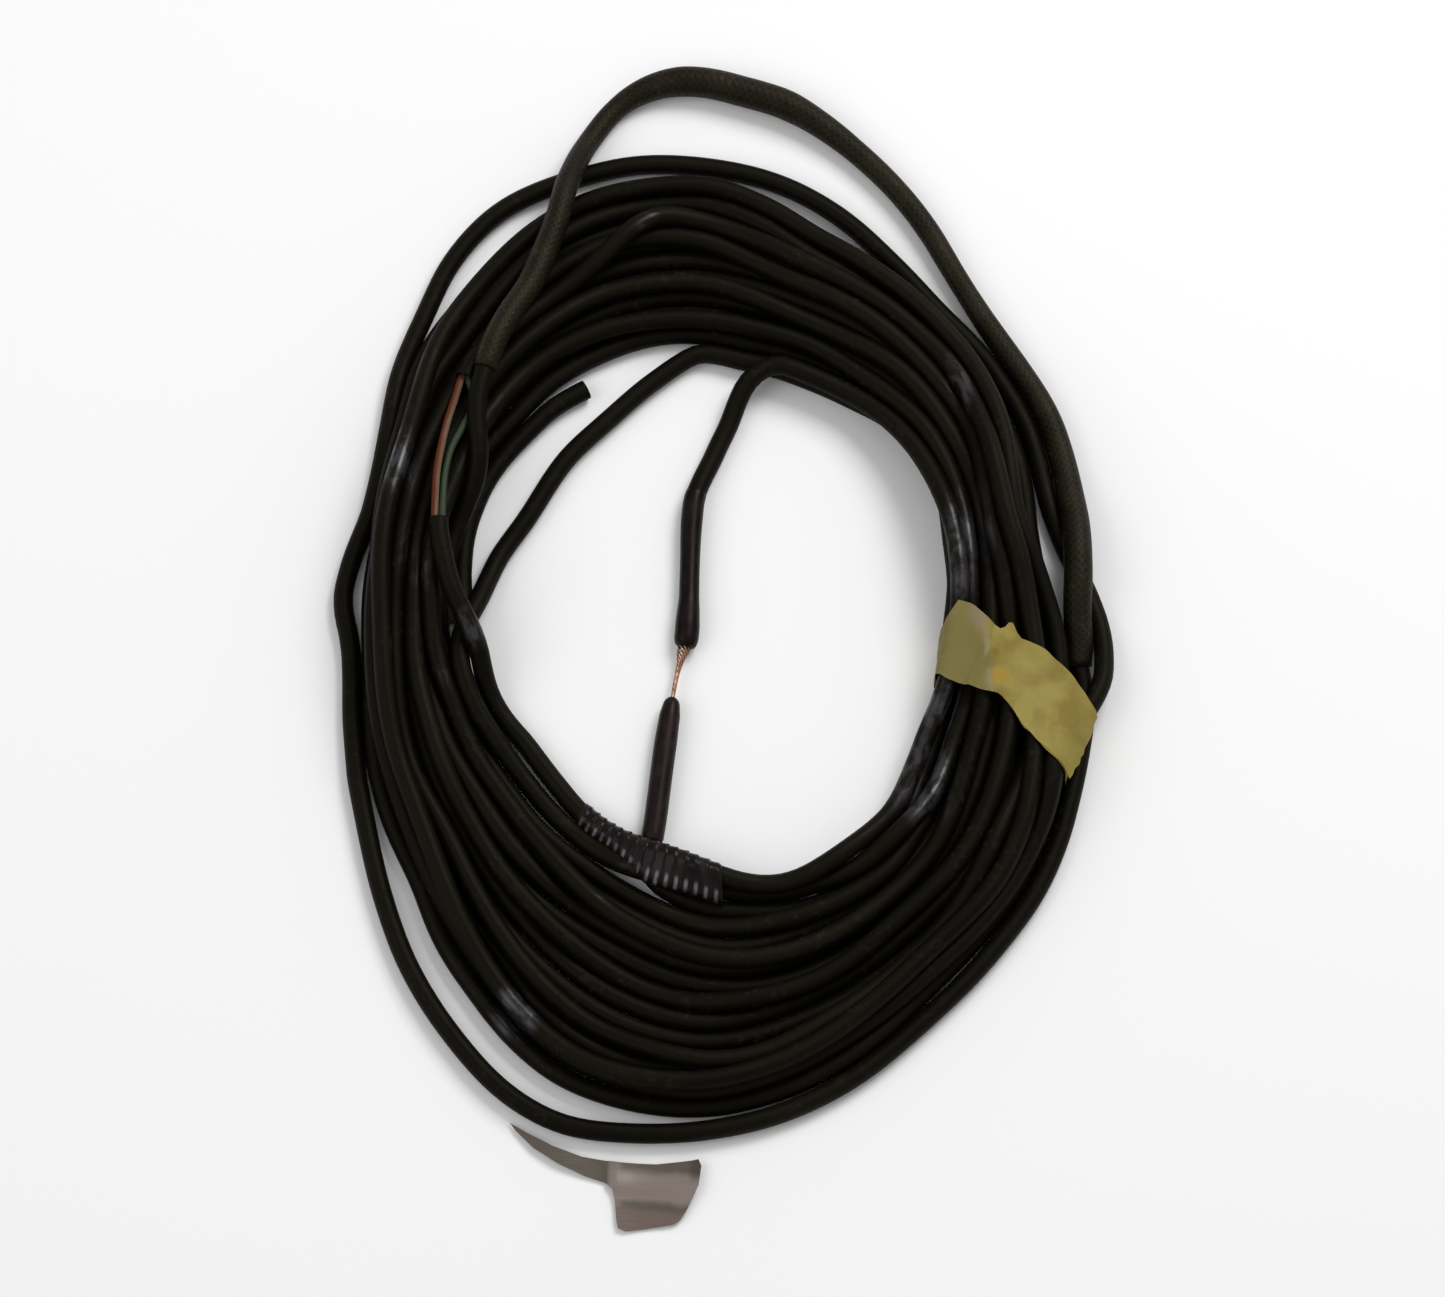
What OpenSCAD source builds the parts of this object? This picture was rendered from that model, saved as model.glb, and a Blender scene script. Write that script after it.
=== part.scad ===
// A used instrument cable, wound into a loose oval coil and tied with paper tape.
// One loop lies proud of the coil under a braided sleeve, the jacket is stripped
// at one place, and two ends are spliced with a bare copper link across the hole.
// Millimetres, +Z up, resting on z = 0, origin under the middle of the whole.

/* [Cable] */
// Outside diameter of the cable jacket
cord_d = 6; // [5:0.1:6]
// Wall of the jacket, seen where it is stripped
jacket_wall = 0.7; // [0.5:0.1:0.9]
// Outside diameter of one insulated core
core_d = 2; // [1.6:0.1:2]
// Diameter of the copper inside one core
copper_d = 0.9; // [0.7:0.1:1]
// Free air kept between a cord and its neighbour
turn_gap = 0.45; // [0.45:0.05:0.5]

/* [Coil] */
// Layers that the turns are piled in
layers = 4; // [4:1:4]
// Turns wound in each layer, the last half turn climbing to the next
layer_turns = 4.5; // [4.5:1:4.5]
// Turns wound in the top layer before the jacket is stripped
top_turns = 1.04; // [0.92:0.04:1.08]
// How far one loose inner turn cuts across the hole
chord_depth = 18; // [10:1:20]
// Depth of the flat that the lowest turns rest on
rest_flat = 0.6; // [0.4:0.1:0.6]

/* [Loose loop] */
// Thickness of the braided sleeve on the loose loop
loop_sleeve_wall = 1.7; // [1.3:0.1:1.7]
// Clear space between a sleeve and the cable inside it
sleeve_fit = 0.3; // [0.2:0.05:0.3]

/* [Splice] */
// Thickness of the shrink sleeve on the upper end
upper_sleeve_wall = 0.7; // [0.5:0.1:0.8]
// Thickness of the shrink sleeve on the lower end
lower_sleeve_wall = 0.5; // [0.4:0.1:0.6]
// Thickness of the bare copper between the two ends
link_d = 1.7; // [1.4:0.1:2]
// Length of a stripped jacket end that the cores enter
stripped_len = 10; // [8:1:11]

/* [Tapes] */
// Width of the paper tape that ties the coil
tape_w = 22; // [18:1:24]
// Thickness of the paper tape as wound
tape_t = 0.4; // [0.3:0.1:0.5]
// Slant of the paper tape across the coil, in degrees
tape_slant = 20; // [10:1:22]
// Ribs of the glossy tape wound on the inner turn
wrap_ribs = 14; // [10:1:16]
// Height of one rib of the glossy tape
rib_h = 0.35; // [0.2:0.05:0.4]
// Thickness of the grey tape tag
tag_t = 0.5; // [0.3:0.1:0.5]

/* [Hidden] */

// Plans and routes are drawn for a 6 mm cord, and grow with a thicker one
grow = cord_d / 6;

// The coil's middle, and the radii of its inner and outer edge every 30 degrees
coil_middle = [-3.4, 7.7];
inner_radii = [71, 75, 77, 77, 77, 75, 70, 74, 77, 84, 88, 76];
outer_radii = [104, 110, 117, 136, 128, 110, 104, 116, 144, 161, 140, 116];
first_angle = 270;
loop_rings = 24;
coil_sides = 6;
cord_sides = 8;
sleeve_sides = 12;
cord_r = cord_d / 2;
pitch_z = cord_d + turn_gap;
coil_flat_r = cord_r * cos(180 / coil_sides);
first_z = coil_flat_r - rest_flat;
chord_span = 100;
spiral_turns = layer_turns - 0.5;
coil_steps = round(((layers - 1) * layer_turns + top_turns) * loop_rings);

// Routes of the free stretches: angle about the coil's middle, radius, height
above_window_shares = [0.32, 0.55, 0.78];
window_top = [131, 104.2, 22.2];
window_top_aim = [137, 100.2, 22.4];
window_foot = [171.5, 79.3, 21.6];
window_foot_aim = [164.7, 82.8, 21.8];
orange_bow = [[-76, 64.4, 22.6], [-79.8, 56.6, 22.4], [-81.8, 48, 21.9], [-82.8, 38.4, 21.5],
              [-82.4, 29, 21.5]];
green_bow = [[-73.4, 63.4, 21.9], [-76.4, 54.8, 21.3], [-78.8, 46, 20.9], [-80.1, 37.4, 21.1],
             [-80.1, 29, 21.3]];
inner_turn_route = [
    [180.5, 74.6, 21.4], [187, 71.6, 20.9], [194, 69.2, 19.8], [201, 67.6, 17], [209, 66.6, 11.8],
    [217, 66.6, 6.6], [225, 68, 3.4], [233, 70.4, 3.4], [240, 72.8, 5.4],
    [247, 75, 8.6], [254, 77, 10.3], [262, 78.6, 10.3], [269, 79.6, 10.1], [277, 81, 12],
    [285, 82.8, 15.6], [293, 85.4, 19.6], [301, 88, 21.8], [310, 88, 22.2], [319, 84.4, 22.8],
    [328, 81, 23], [337, 78.8, 23.2], [347, 76.6, 23.3], [357, 75.8, 23.2], [8, 77.2, 23],
    [20, 79.4, 22.7], [32, 81.2, 22.2], [43, 81.8, 21.9], [53, 81, 21.6], [62, 79.2, 20.6],
    [69.5, 77.2, 18.4], [76, 75, 15.6], [80.5, 70.6, 12.2], [84.5, 63.8, 9], [89.4, 54.6, 6.6]];
upper_sleeve_axis = [[-4, 38.4, 4.5], [-6.5, -11.6, 4.5]];
upper_lead_depth = 30;
link_route = [[-6.7, -12.8, 4.4], [-7.9, -17.6, 4.1], [-9, -22.6, 4]];
lower_sleeve_axis = [[-9.9, -27.6, 4], [-15.7, -68, 4]];
lower_lead_depth = 11;
lower_lead_route = [[-16.8, -74.2, 3.3], [-17.2, -80, 2.5], [-15.9, -84.4, 2.1]];
loop_route = [
    [168, 72.4, 15], [160, 74.8, 18.8], [152, 79.2, 22.5], [145, 84.6, 24.6], [139, 89.8, 26],
    [133, 96, 28.4], [128, 102.6, 30], [123, 108.4, 30.3], [118, 114, 30.3], [113.6, 122.6, 30.2],
    [110, 131.6, 29.6], [106.8, 143.4, 24.8], [103.4, 156, 17.8], [99.4, 167.2, 11.2],
    [95, 172.6, 6.6], [90.6, 173, 4.9], [86, 169.6, 4.9], [81.4, 165.4, 4.9], [76.6, 160, 4.9],
    [71.6, 153.8, 4.9], [66.6, 147, 4.9], [61.4, 139.6, 4.9], [55.6, 132, 5.2], [49.2, 126, 7.4],
    [42.4, 121.8, 9.9], [35.6, 118.6, 10.8], [28.6, 117, 11.4], [21.6, 116, 11.6], [14, 115.6, 11.6],
    [9, 115.2, 11.6], [4, 114.6, 11.3], [-0.5, 113.4, 9.6], [-5, 112, 7.2], [-9.5, 111.8, 5.2],
    [-14, 112.6, 4.2], [-19, 114.6, 4], [-26, 118.4, 3.6], [-35, 124.2, 2.8],
    [-45, 132.2, 2.8], [-55, 141, 2.8], [-65, 149.4, 2.8], [-74, 157, 2.8],
    [-82, 162.6, 2.8], [-90, 165.6, 2.8], [-98, 167, 2.8],
    [-105, 168, 2.8], [-112, 164, 3.6], [-120, 154.6, 3.6], [-128, 144.6, 3], [-136, 135.6, 2.8],
    [-144, 127.4, 2.8], [-152, 120, 2.8], [-161, 113.8, 2.8], [-170, 110.6, 2.8],
    [-178, 110.6, 2.8], [-186, 111.4, 2.8], [-194, 110.8, 2.8], [-203, 111.6, 2.8],
    [-212, 115.4, 2.8], [-220, 120.4, 2.8], [-228, 127.4, 2.8], [-236, 135.4, 2.8],
    [-244, 140.6, 2.8], [-252, 143, 2.8], [-261, 144.4, 2.8], [-270, 143.6, 2.8],
    [-279, 139.8, 2.8], [-288, 133.2, 2.8], [-298, 125.4, 2.8], [-308, 119.8, 2.8],
    [-319, 116, 2.8], [-330, 113.8, 2.8], [-340, 112.6, 2.8], [-348, 113.6, 2.8],
    [-355, 116, 2.8], [-363, 117.8, 3.4], [-372, 119.2, 4], [-380, 122, 3.8], [-390, 128.2, 3.8],
    [-402, 137.2, 2.8]];
loop_sleeve_first = 4;
loop_sleeve_last = 30;
tucked_route = [[117, 78.8, 2.8], [125, 78.4, 2.8], [134, 77.6, 2.8], [143, 76.4, 2.8],
                [152, 74.8, 2.8], [162, 72.8, 2.8], [172, 71.6, 2.8], [182, 71.2, 2.8]];
wrap_share = 0.213;
wrap_length = 38;
tape_angle = -16.5;
tape_steps = 6;
tape_shoulder_share = 0.86;
layer_lift = 1.3;
climb_bulge = 1.2;
tag_shift = [3, -9];
tag_outline = [[-71.8, -136.6], [-69.6, -138.2], [-66.4, -143.4], [-61.4, -149.6], [-52.6, -155.8],
               [-42.1, -160.4], [-33.1, -163], [-19.6, -163.6], [-5.5, -162.6], [-4.6, -166],
               [-10.6, -180.4], [-12.4, -181.6], [-22.6, -183.4], [-28, -184.2], [-29.6, -182.6],
               [-30.2, -174], [-32.2, -170], [-40.6, -167.4], [-49.6, -162.8], [-57.4, -157.2],
               [-63.8, -150.6], [-68.6, -143.6]];

function unit(v) = v / norm(v);
function around(angle, r, z) =
    concat(grow * coil_middle + r * [cos(angle), sin(angle)], [z]);
function at(p) = around(p[0], grow * p[1], grow * p[2]);
function from_middle(p) = grow * [coil_middle[0] + p[0], coil_middle[1] + p[1], p[2]];
function along(a, b, far) = a + unit(b - a) * far;

// A smooth closed curve through values given every 360/len degrees
function blend(v, i, f) =
    let (n = len(v), a = v[(i + n - 1) % n], b = v[i % n], c = v[(i + 1) % n], d = v[(i + 2) % n])
    (2 * b + (c - a) * f + (2 * a - 5 * b + 4 * c - d) * f * f
     + (3 * b - a - 3 * c + d) * f * f * f) / 2;
function radius_at(v, angle) =
    let (t = (angle % 360 + 360) % 360 * len(v) / 360) grow * blend(v, floor(t), t - floor(t));
function ease(t) = t * t * (3 - 2 * t);

// Turns lift a little where the paper tape passes under them
function lift_at(angle) =
    let (away = abs(((angle - tape_angle) % 360 + 540) % 360 - 180))
    layer_lift * ease(max(0, min(1, (60 - away) / 32)));

// The coil: each layer spirals across the band, then climbs in the last half turn
function coil_angle(step) = (first_angle + 360 * step / loop_rings) % 360;
function coil_point(step) =
    let (turn = step / loop_rings,
         layer = floor(turn / layer_turns + 0.0001),
         part = turn - layer * layer_turns,
         across = min(1, max(0, part) / spiral_turns),
         climb = max(0, (part - spiral_turns) / 0.5),
         u = layer % 2 == 0 ? across : 1 - across,
         angle = first_angle + 360 * turn,
         inner = radius_at(inner_radii, angle) + cord_r,
         outer = radius_at(outer_radii, angle) - cord_r,
         swing = climb <= 0 ? 0
             : layer % 2 == 1 ? -chord_depth * sin(min(180, 180 * climb * 180 / chord_span))
             : climb_bulge * sin(180 * climb))
    around(angle, inner + (outer - inner) * u + swing,
           first_z + pitch_z * (layer + ease(climb)) + lift_at(angle));
coil_turns_path = [for (i = [0:coil_steps]) coil_point(i)];
coil_start = along(coil_turns_path[0], coil_turns_path[1], -cord_d);
coil_end = along(coil_turns_path[coil_steps], coil_turns_path[coil_steps - 1], -cord_d);
coil_path = concat([coil_start], coil_turns_path, [coil_end]);

// Least distance between turns, from points at least half a turn apart
least_gap = min([for (i = [0:coil_steps - 1]) for (j = [i + loop_rings / 2:1:coil_steps])
    norm(coil_turns_path[i] - coil_turns_path[j])]) - cord_d;
echo(least_gap_between_turns = least_gap);

// Sweeping: rings of points square to a path, none below the table
function ring(path, i, r, sides) =
    let (ahead = unit(path[min(i + 1, len(path) - 1)] - path[max(i - 1, 0)]),
         side = unit(cross(ahead, [0, 0, 1])), up = cross(side, ahead))
    [for (k = [0:sides - 1])
        let (a = 270 + (k + 0.5) * 360 / sides, p = path[i] + r * (cos(a) * side + sin(a) * up))
        [p[0], p[1], max(0, p[2])]];
function skin(rings, sides, base = 0) = [for (i = [0:rings - 2]) for (k = [0:sides - 1])
    let (a = base + i * sides + k, b = base + i * sides + (k + 1) % sides)
    each [[a, b, b + sides], [a, b + sides, a + sides]]];
function flipped(faces) = [for (f = faces) [f[0], f[2], f[1]]];
function cap(first, sides) = [for (k = [1:sides - 2]) [first, first + k, first + k + 1]];
function annulus(outer, inner, sides) = [for (k = [0:sides - 1])
    let (o = outer + k, p = outer + (k + 1) % sides, i = inner + k, j = inner + (k + 1) % sides)
    each [[o, p, j], [o, j, i]]];

// A solid cord along a path, with one radius or one for each point
module cord(path, r, sides = cord_sides) {
    last = len(path) - 1;
    polyhedron(
        points = [for (i = [0:last]) each ring(path, i, is_list(r) ? r[i] : r, sides)],
        faces = concat(skin(last + 1, sides), flipped(cap(0, sides)), cap(last * sides, sides)),
        convexity = 10);
}

// A hollow sleeve along a path, with a radius list for its outside and its bore
module sleeve(path, outer, bore, sides = sleeve_sides) {
    n = len(path);
    inside = n * sides;
    polyhedron(
        points = concat([for (i = [0:n - 1]) each ring(path, i, outer[i], sides)],
                        [for (i = [0:n - 1]) each ring(path, i, bore[i], sides)]),
        faces = concat(skin(n, sides), flipped(skin(n, sides, inside)),
                       flipped(annulus(0, inside, sides)),
                       annulus((n - 1) * sides, inside + (n - 1) * sides, sides)),
        convexity = 10);
}

// The point a given way along a path
function way(path, s, i = 0) =
    let (step = norm(path[i + 1] - path[i]))
    s <= step || i == len(path) - 2 ? path[i] + (path[i + 1] - path[i]) * s / step
                                    : way(path, s - step, i + 1);

module cable_coil() {
    color("#23201c") cord(coil_path, cord_r, coil_sides);
}

// The jacket between the coil's upper end and the stripped window
upper_bare_end = at(window_top);
upper_bare_dir = unit(at(window_top_aim) - upper_bare_end);
function above_window_point(f) =
    let (a = coil_angle(coil_steps), from = coil_turns_path[coil_steps] - grow * [each coil_middle, 0],
         to = grow * window_top, r = norm([from[0], from[1]]))
    around(a + (window_top[0] - a) * f, r + (to[1] - r) * f, from[2] + (to[2] - from[2]) * f);
above_window_path = concat(
    [coil_end, along(coil_end, coil_turns_path[coil_steps], -cord_d)],
    [for (f = above_window_shares) above_window_point(f)],
    [upper_bare_end - upper_bare_dir * cord_d, upper_bare_end]);
module jacket_above_window() {
    color("#26231f") cord(above_window_path, cord_r);
}

lower_bare_end = at(window_foot);
lower_bare_dir = unit(at(window_foot_aim) - lower_bare_end);

// A jacket end with its filling pulled out, open towards dir
module stripped_end(foot, dir) {
    translate(foot)
        rotate([0, acos(dir[2]), atan2(dir[1], dir[0])])
            difference() {
                cylinder(d = cord_d, h = stripped_len, $fn = 48);
                translate([0, 0, 1])
                    cylinder(d = cord_d - 2 * jacket_wall, h = stripped_len, $fn = 48);
            }
}
module stripped_end_upper() {
    color("#26231f") stripped_end(upper_bare_end, upper_bare_dir);
}
module stripped_end_lower() {
    color("#26231f") stripped_end(lower_bare_end, lower_bare_dir);
}

// The cores run from the floor of one stripped end to the floor of the other
core_offset = core_d / 2 + 0.08;
function sideways(dir) = unit(cross(dir, [0, 0, 1]));
function core_path(bow, way_out) = concat(
    [for (s = [1, stripped_len - 1])
        upper_bare_end + upper_bare_dir * s - sideways(upper_bare_dir) * way_out],
    [for (p = bow) from_middle(p)],
    [for (s = [stripped_len - 1, 1])
        lower_bare_end + lower_bare_dir * s + sideways(lower_bare_dir) * way_out]);
orange_path = core_path(orange_bow, -core_offset);
green_path = core_path(green_bow, core_offset);
module core_skin(path) {
    sleeve(path, [for (p = path) core_d / 2], [for (p = path) copper_d / 2 + 0.03], cord_sides);
}
module orange_core() {
    color("#c2552a") core_skin(orange_path);
}
module orange_copper() {
    color("#b5744a") cord(orange_path, copper_d / 2);
}
module green_core() {
    color("#3f8a5a") core_skin(green_path);
}
module green_copper() {
    color("#b5744a") cord(green_path, copper_d / 2);
}

// The innermost turn, from the stripped window round to the upper end of the splice
upper_sleeve_top = from_middle(upper_sleeve_axis[0]);
upper_sleeve_foot = from_middle(upper_sleeve_axis[1]);
upper_lead_end = along(upper_sleeve_top, upper_sleeve_foot, upper_lead_depth);
inner_turn_path = concat(
    [lower_bare_end, lower_bare_end - lower_bare_dir * cord_d],
    [for (p = inner_turn_route) at(p)],
    [along(upper_sleeve_top, upper_sleeve_foot, -5),
     along(upper_sleeve_top, upper_sleeve_foot, 2), upper_lead_end]);
module inner_turn() {
    color("#2b2826") cord(inner_turn_path, cord_r);
}

// Glossy tape wound in ribs over the inner turn
module inner_tape_wrap() {
    step = wrap_length / wrap_ribs / 2;
    start = wrap_share * run(inner_turn_path, len(inner_turn_path) - 1);
    path = [for (i = [0:2 * wrap_ribs]) way(inner_turn_path, start + i * step)];
    color("#34302f")
        sleeve(path, [for (i = [0:2 * wrap_ribs]) cord_r + sleeve_fit + 0.4 + (i % 2) * rib_h],
               [for (p = path) cord_r + sleeve_fit], cord_sides);
}

// The whole length of a path, up to its point i
function run(path, i) = i == 0 ? 0 : run(path, i - 1) + norm(path[i] - path[i - 1]);

// Shrink sleeves over the two cut ends, rounded in to the copper
upper_stations = [0, 10, 24, 36, 43, 47, 49.5];
upper_swell = [-0.15, 0, 0.05, 0.3, 0.25, -0.5, -1.3];
upper_bore = [0, 0, 0, 0, -0.6, -1.2, -1.6];
module upper_splice_sleeve() {
    color("#2a2624")
        sleeve([for (s = upper_stations) along(upper_sleeve_top, upper_sleeve_foot, grow * s)],
               [for (w = upper_swell) cord_r + sleeve_fit + upper_sleeve_wall + w],
               [for (b = upper_bore) cord_r + sleeve_fit + b]);
}
lower_sleeve_top = from_middle(lower_sleeve_axis[0]);
lower_sleeve_foot = from_middle(lower_sleeve_axis[1]);
lower_lead_end = along(lower_sleeve_top, lower_sleeve_foot, lower_lead_depth);
lower_stations = [0, 2, 5, 9.5, 40];
lower_taper = [-1.9, -1, -0.35, 0, 0];
lower_bore = [-2, -1.5, -0.8, 0, 0];
module lower_splice_sleeve() {
    color("#332e2e")
        sleeve([for (s = lower_stations) along(lower_sleeve_top, lower_sleeve_foot, grow * s)],
               [for (w = lower_taper) cord_r + sleeve_fit + lower_sleeve_wall + w],
               [for (b = lower_bore) cord_r + sleeve_fit + b]);
}

// Twisted bare copper that still joins the two ends
link_path = concat(
    [upper_lead_end, along(upper_lead_end, upper_sleeve_foot, cord_d),
     along(upper_sleeve_foot, upper_lead_end, 4 * grow)],
    [for (p = link_route) from_middle(p)],
    [along(lower_sleeve_top, lower_lead_end, grow / 2),
     along(lower_lead_end, lower_sleeve_top, cord_d), lower_lead_end]);
link_swell = [1.2, 1.2, 0.8, 0.6, 0.1, 0, 0, 0.2, 0.4];
module copper_link() {
    color("#b97a5a") cord(link_path, [for (w = link_swell) link_d / 2 + w]);
}

// From the lower end of the splice into the first turn of the coil
lower_lead_path = concat(
    [lower_lead_end, lower_sleeve_foot],
    [for (p = lower_lead_route) from_middle(p)],
    [along(coil_start, coil_turns_path[0], -cord_d), coil_start]);
module lower_lead() {
    color("#332e2e") cord(lower_lead_path, cord_r);
}

// The loose loop: over the coil, round outside it nearly twice, through the tape
loop_path = [for (p = loop_route) at(p)];
module loose_loop_cable() {
    color("#24211d") cord(loop_path, cord_r);
}
module loose_loop_sleeve() {
    path = [for (i = [loop_sleeve_first:loop_sleeve_last]) loop_path[i]];
    color("#3a3531")
        sleeve(path, [for (p = path) cord_r + sleeve_fit + loop_sleeve_wall],
               [for (p = path) cord_r + sleeve_fit]);
}

module tucked_end() {
    color("#24211d") cord([for (p = tucked_route) at(p)], cord_r);
}

// The paper tape: a slanting band round the coil, the inner turn and the loose loop
tape_skin_r = cord_r + turn_gap;
tape_top = first_z + 3 * pitch_z + layer_lift + grow * 0.75;
function tape_reach(angle) = radius_at(outer_radii, angle) + 2 * cord_d + grow * 0.2;
function tape_shoulder(angle) =
    radius_at(inner_radii, angle)
    + tape_shoulder_share * (radius_at(outer_radii, angle) - radius_at(inner_radii, angle));
// Corner of the band's section (0 to 3), and the direction from that corner
tape_section = concat(
    [for (a = [180:30:270]) [0, a]], [for (a = [270:26:400]) [1, a]],
    [for (a = [40:25:90]) [2, a]], [for (a = [90:30:180]) [3, a]]);
function tape_corner(c, angle) =
    let (inner = radius_at(inner_radii, angle) + cord_r, low = tape_skin_r + tape_t)
    c == 0 ? [inner, low]
    : c == 1 ? [tape_reach(angle), low]
    : c == 2 ? [tape_shoulder(angle), tape_top]
    : [inner, tape_top];
function tape_point(s, w, grow) =
    let (c = tape_section[s][0], a = tape_section[s][1],
         middle = (radius_at(inner_radii, tape_angle) + tape_reach(tape_angle)) / 2,
         here = tape_corner(c, tape_angle)[0] + tape_skin_r * cos(a),
         shift = w / cos(tape_slant) - (here - middle) * tan(tape_slant),
         angle = tape_angle + shift / middle * 180 / PI,
         corner = tape_corner(c, angle), r = tape_skin_r + grow)
    around(angle, corner[0] + r * cos(a), max(0, corner[1] + r * sin(a)));
module masking_tape() {
    n = len(tape_section);
    rows = [for (i = [0:tape_steps]) tape_w * (i / tape_steps - 0.5)];
    inside = len(rows) * n;
    color("#d8c88c")
        polyhedron(
            points = concat([for (w = rows) each [for (s = [0:n - 1]) tape_point(s, w, tape_t)]],
                            [for (w = rows) each [for (s = [0:n - 1]) tape_point(s, w, 0)]]),
            faces = concat(skin(len(rows), n), flipped(skin(len(rows), n, inside)),
                           flipped(annulus(0, inside, n)),
                           annulus((len(rows) - 1) * n, inside + (len(rows) - 1) * n, n)),
            convexity = 10);
}

module grey_tape_tag() {
    color("#7d756c")
        linear_extrude(tag_t)
            polygon([for (p = tag_outline) grow * (coil_middle + p + tag_shift)]);
}

cable_coil();
jacket_above_window();
stripped_end_upper();
stripped_end_lower();
orange_core();
orange_copper();
green_core();
green_copper();
inner_turn();
inner_tape_wrap();
upper_splice_sleeve();
copper_link();
lower_splice_sleeve();
lower_lead();
loose_loop_cable();
loose_loop_sleeve();
tucked_end();
masking_tape();
grey_tape_tag();
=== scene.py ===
# %% [markdown]
# # A coiled, taped and spliced instrument cable
# The object is one long dark cable wound into a loose oval coil. Its jacket has been opened to show two coloured
# wires, one turn has been cut and joined again with thin sleeves, an end loop wears a braided sleeve, and a strip
# of paper tape ties the bundle at the right.
# This lesson lets the cable settle under its own weight and then gives every part its surface.

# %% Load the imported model
import bpy
import math
import numpy as np
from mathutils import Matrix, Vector


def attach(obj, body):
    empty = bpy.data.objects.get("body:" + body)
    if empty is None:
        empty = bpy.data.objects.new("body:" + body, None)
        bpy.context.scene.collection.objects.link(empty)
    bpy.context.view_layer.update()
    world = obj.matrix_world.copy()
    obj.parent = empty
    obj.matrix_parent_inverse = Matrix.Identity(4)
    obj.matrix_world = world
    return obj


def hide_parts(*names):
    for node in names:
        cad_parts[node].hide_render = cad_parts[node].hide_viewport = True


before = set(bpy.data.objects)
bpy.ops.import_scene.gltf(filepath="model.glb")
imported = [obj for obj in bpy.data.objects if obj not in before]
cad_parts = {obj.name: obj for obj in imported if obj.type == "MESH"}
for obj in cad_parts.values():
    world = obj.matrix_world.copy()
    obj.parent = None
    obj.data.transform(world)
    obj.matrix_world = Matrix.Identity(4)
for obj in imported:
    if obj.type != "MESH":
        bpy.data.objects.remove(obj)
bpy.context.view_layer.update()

# %% [markdown]
# ## The camera
# A long lens two metres away keeps the strands at the front and back of the coil the same width. The camera
# looks down at 70 degrees, so that the coil shows its oval almost in plan, with a little of its height.

# %% Place the camera
CAMERA_HEIGHT_ANGLE = math.radians(70)
CAMERA_DISTANCE = 2.1675
look_at = Vector((0.0016, -0.0028, 0.0))
camera = bpy.data.objects.new("camera", bpy.data.cameras.new("camera"))
camera.data.lens = 180
camera.data.sensor_width = 36
camera.location = look_at + CAMERA_DISTANCE * Vector(
    (0, -math.cos(CAMERA_HEIGHT_ANGLE), math.sin(CAMERA_HEIGHT_ANGLE)))
camera.rotation_euler = (math.radians(90) - CAMERA_HEIGHT_ANGLE, 0, 0)
bpy.context.scene.collection.objects.link(camera)
bpy.context.scene.camera = camera
print("camera at", [round(x, 3) for x in camera.location])

# %% [markdown]
# ## The measures of the cable
# Everything hangs on the cable's 6 mm jacket. Points on the coil are easiest to give as a clock hand would: an
# angle round the middle of the coil, a distance from it, and a height above the table.

# %% Measures in metres
CABLE = 0.006
CABLE_R = CABLE / 2
JACKET_WALL = 0.0007
COIL_MIDDLE = np.array([-0.0034, 0.0077, 0.0])


def clock(route):
    """Points given by angle in degrees, distance and height in millimetres, as x, y, z in metres."""
    route = np.array(route, float)
    angle = np.radians(route[:, 0])
    flat = np.stack([np.cos(angle), np.sin(angle), np.zeros(len(route))], axis=1)
    return COIL_MIDDLE + flat * route[:, 1:2] / 1000 + np.array([0, 0, 1]) * route[:, 2:3] / 1000


def square(route):
    """Points given by x, y, z in millimetres from the coil's middle, in metres."""
    return COIL_MIDDLE + np.array(route, float) / 1000


print("100 mm to the right of the coil's middle lies", clock([[0, 100, 0]])[0].round(4))

# %% [markdown]
# ## The line of the wound turns
# The coil is an oval whose inner and outer edges are known every 15 degrees. The cable runs outwards in one layer
# and inwards in the next, and climbs from layer to layer. Real turns are never parallel. Where there is room, each
# layer leans its own way, so that its turns lie in the gaps of the layer below and cross them at a slant, and a
# slow, seeded wander moves single turns. Where there is too little room, every second turn starts higher. A Screw
# modifier would make round and even turns only, and a curve drawn by hand is slow to change, so a formula is used.

# %% The coil's edges
INNER_EDGE = np.array([76, 79, 81.5, 82, 82.5, 82.5, 81, 82.5, 83, 82, 80.5, 79.5,
                       76, 76.5, 75.5, 74.5, 78.5, 84.5, 88.5, 91.5, 91.5, 87, 79.5, 77]) / 1000
OUTER_EDGE = np.array([101.5, 96.5, 103.5, 112, 118, 124, 138, 138, 129, 117, 107, 101,
                       101, 103, 110, 120, 135, 152, 156, 147, 135.5, 128.5, 119, 110]) / 1000


def smooth_between(p, q, r, s, f):
    """The point a share f of the way from q to r, on a smooth curve that passes p, q, r and s."""
    return (2 * q + (r - p) * f + (2 * p - 5 * q + 4 * r - s) * f ** 2 + (3 * q - p - 3 * r + s) * f ** 3) / 2


def edge_at(edge, angle):
    """The distance of an edge at any angle, on a smooth closed curve through its values."""
    place = (angle % 360) / 15
    i = np.floor(place).astype(int)
    p, q, r, s = (edge[(i + k) % 24] for k in (-1, 0, 1, 2))
    return smooth_between(p, q, r, s, place - i)


print("the hole is", round(1000 * float(edge_at(INNER_EDGE, 0.0) + edge_at(INNER_EDGE, 180.0)), 1), "mm wide")

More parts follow.
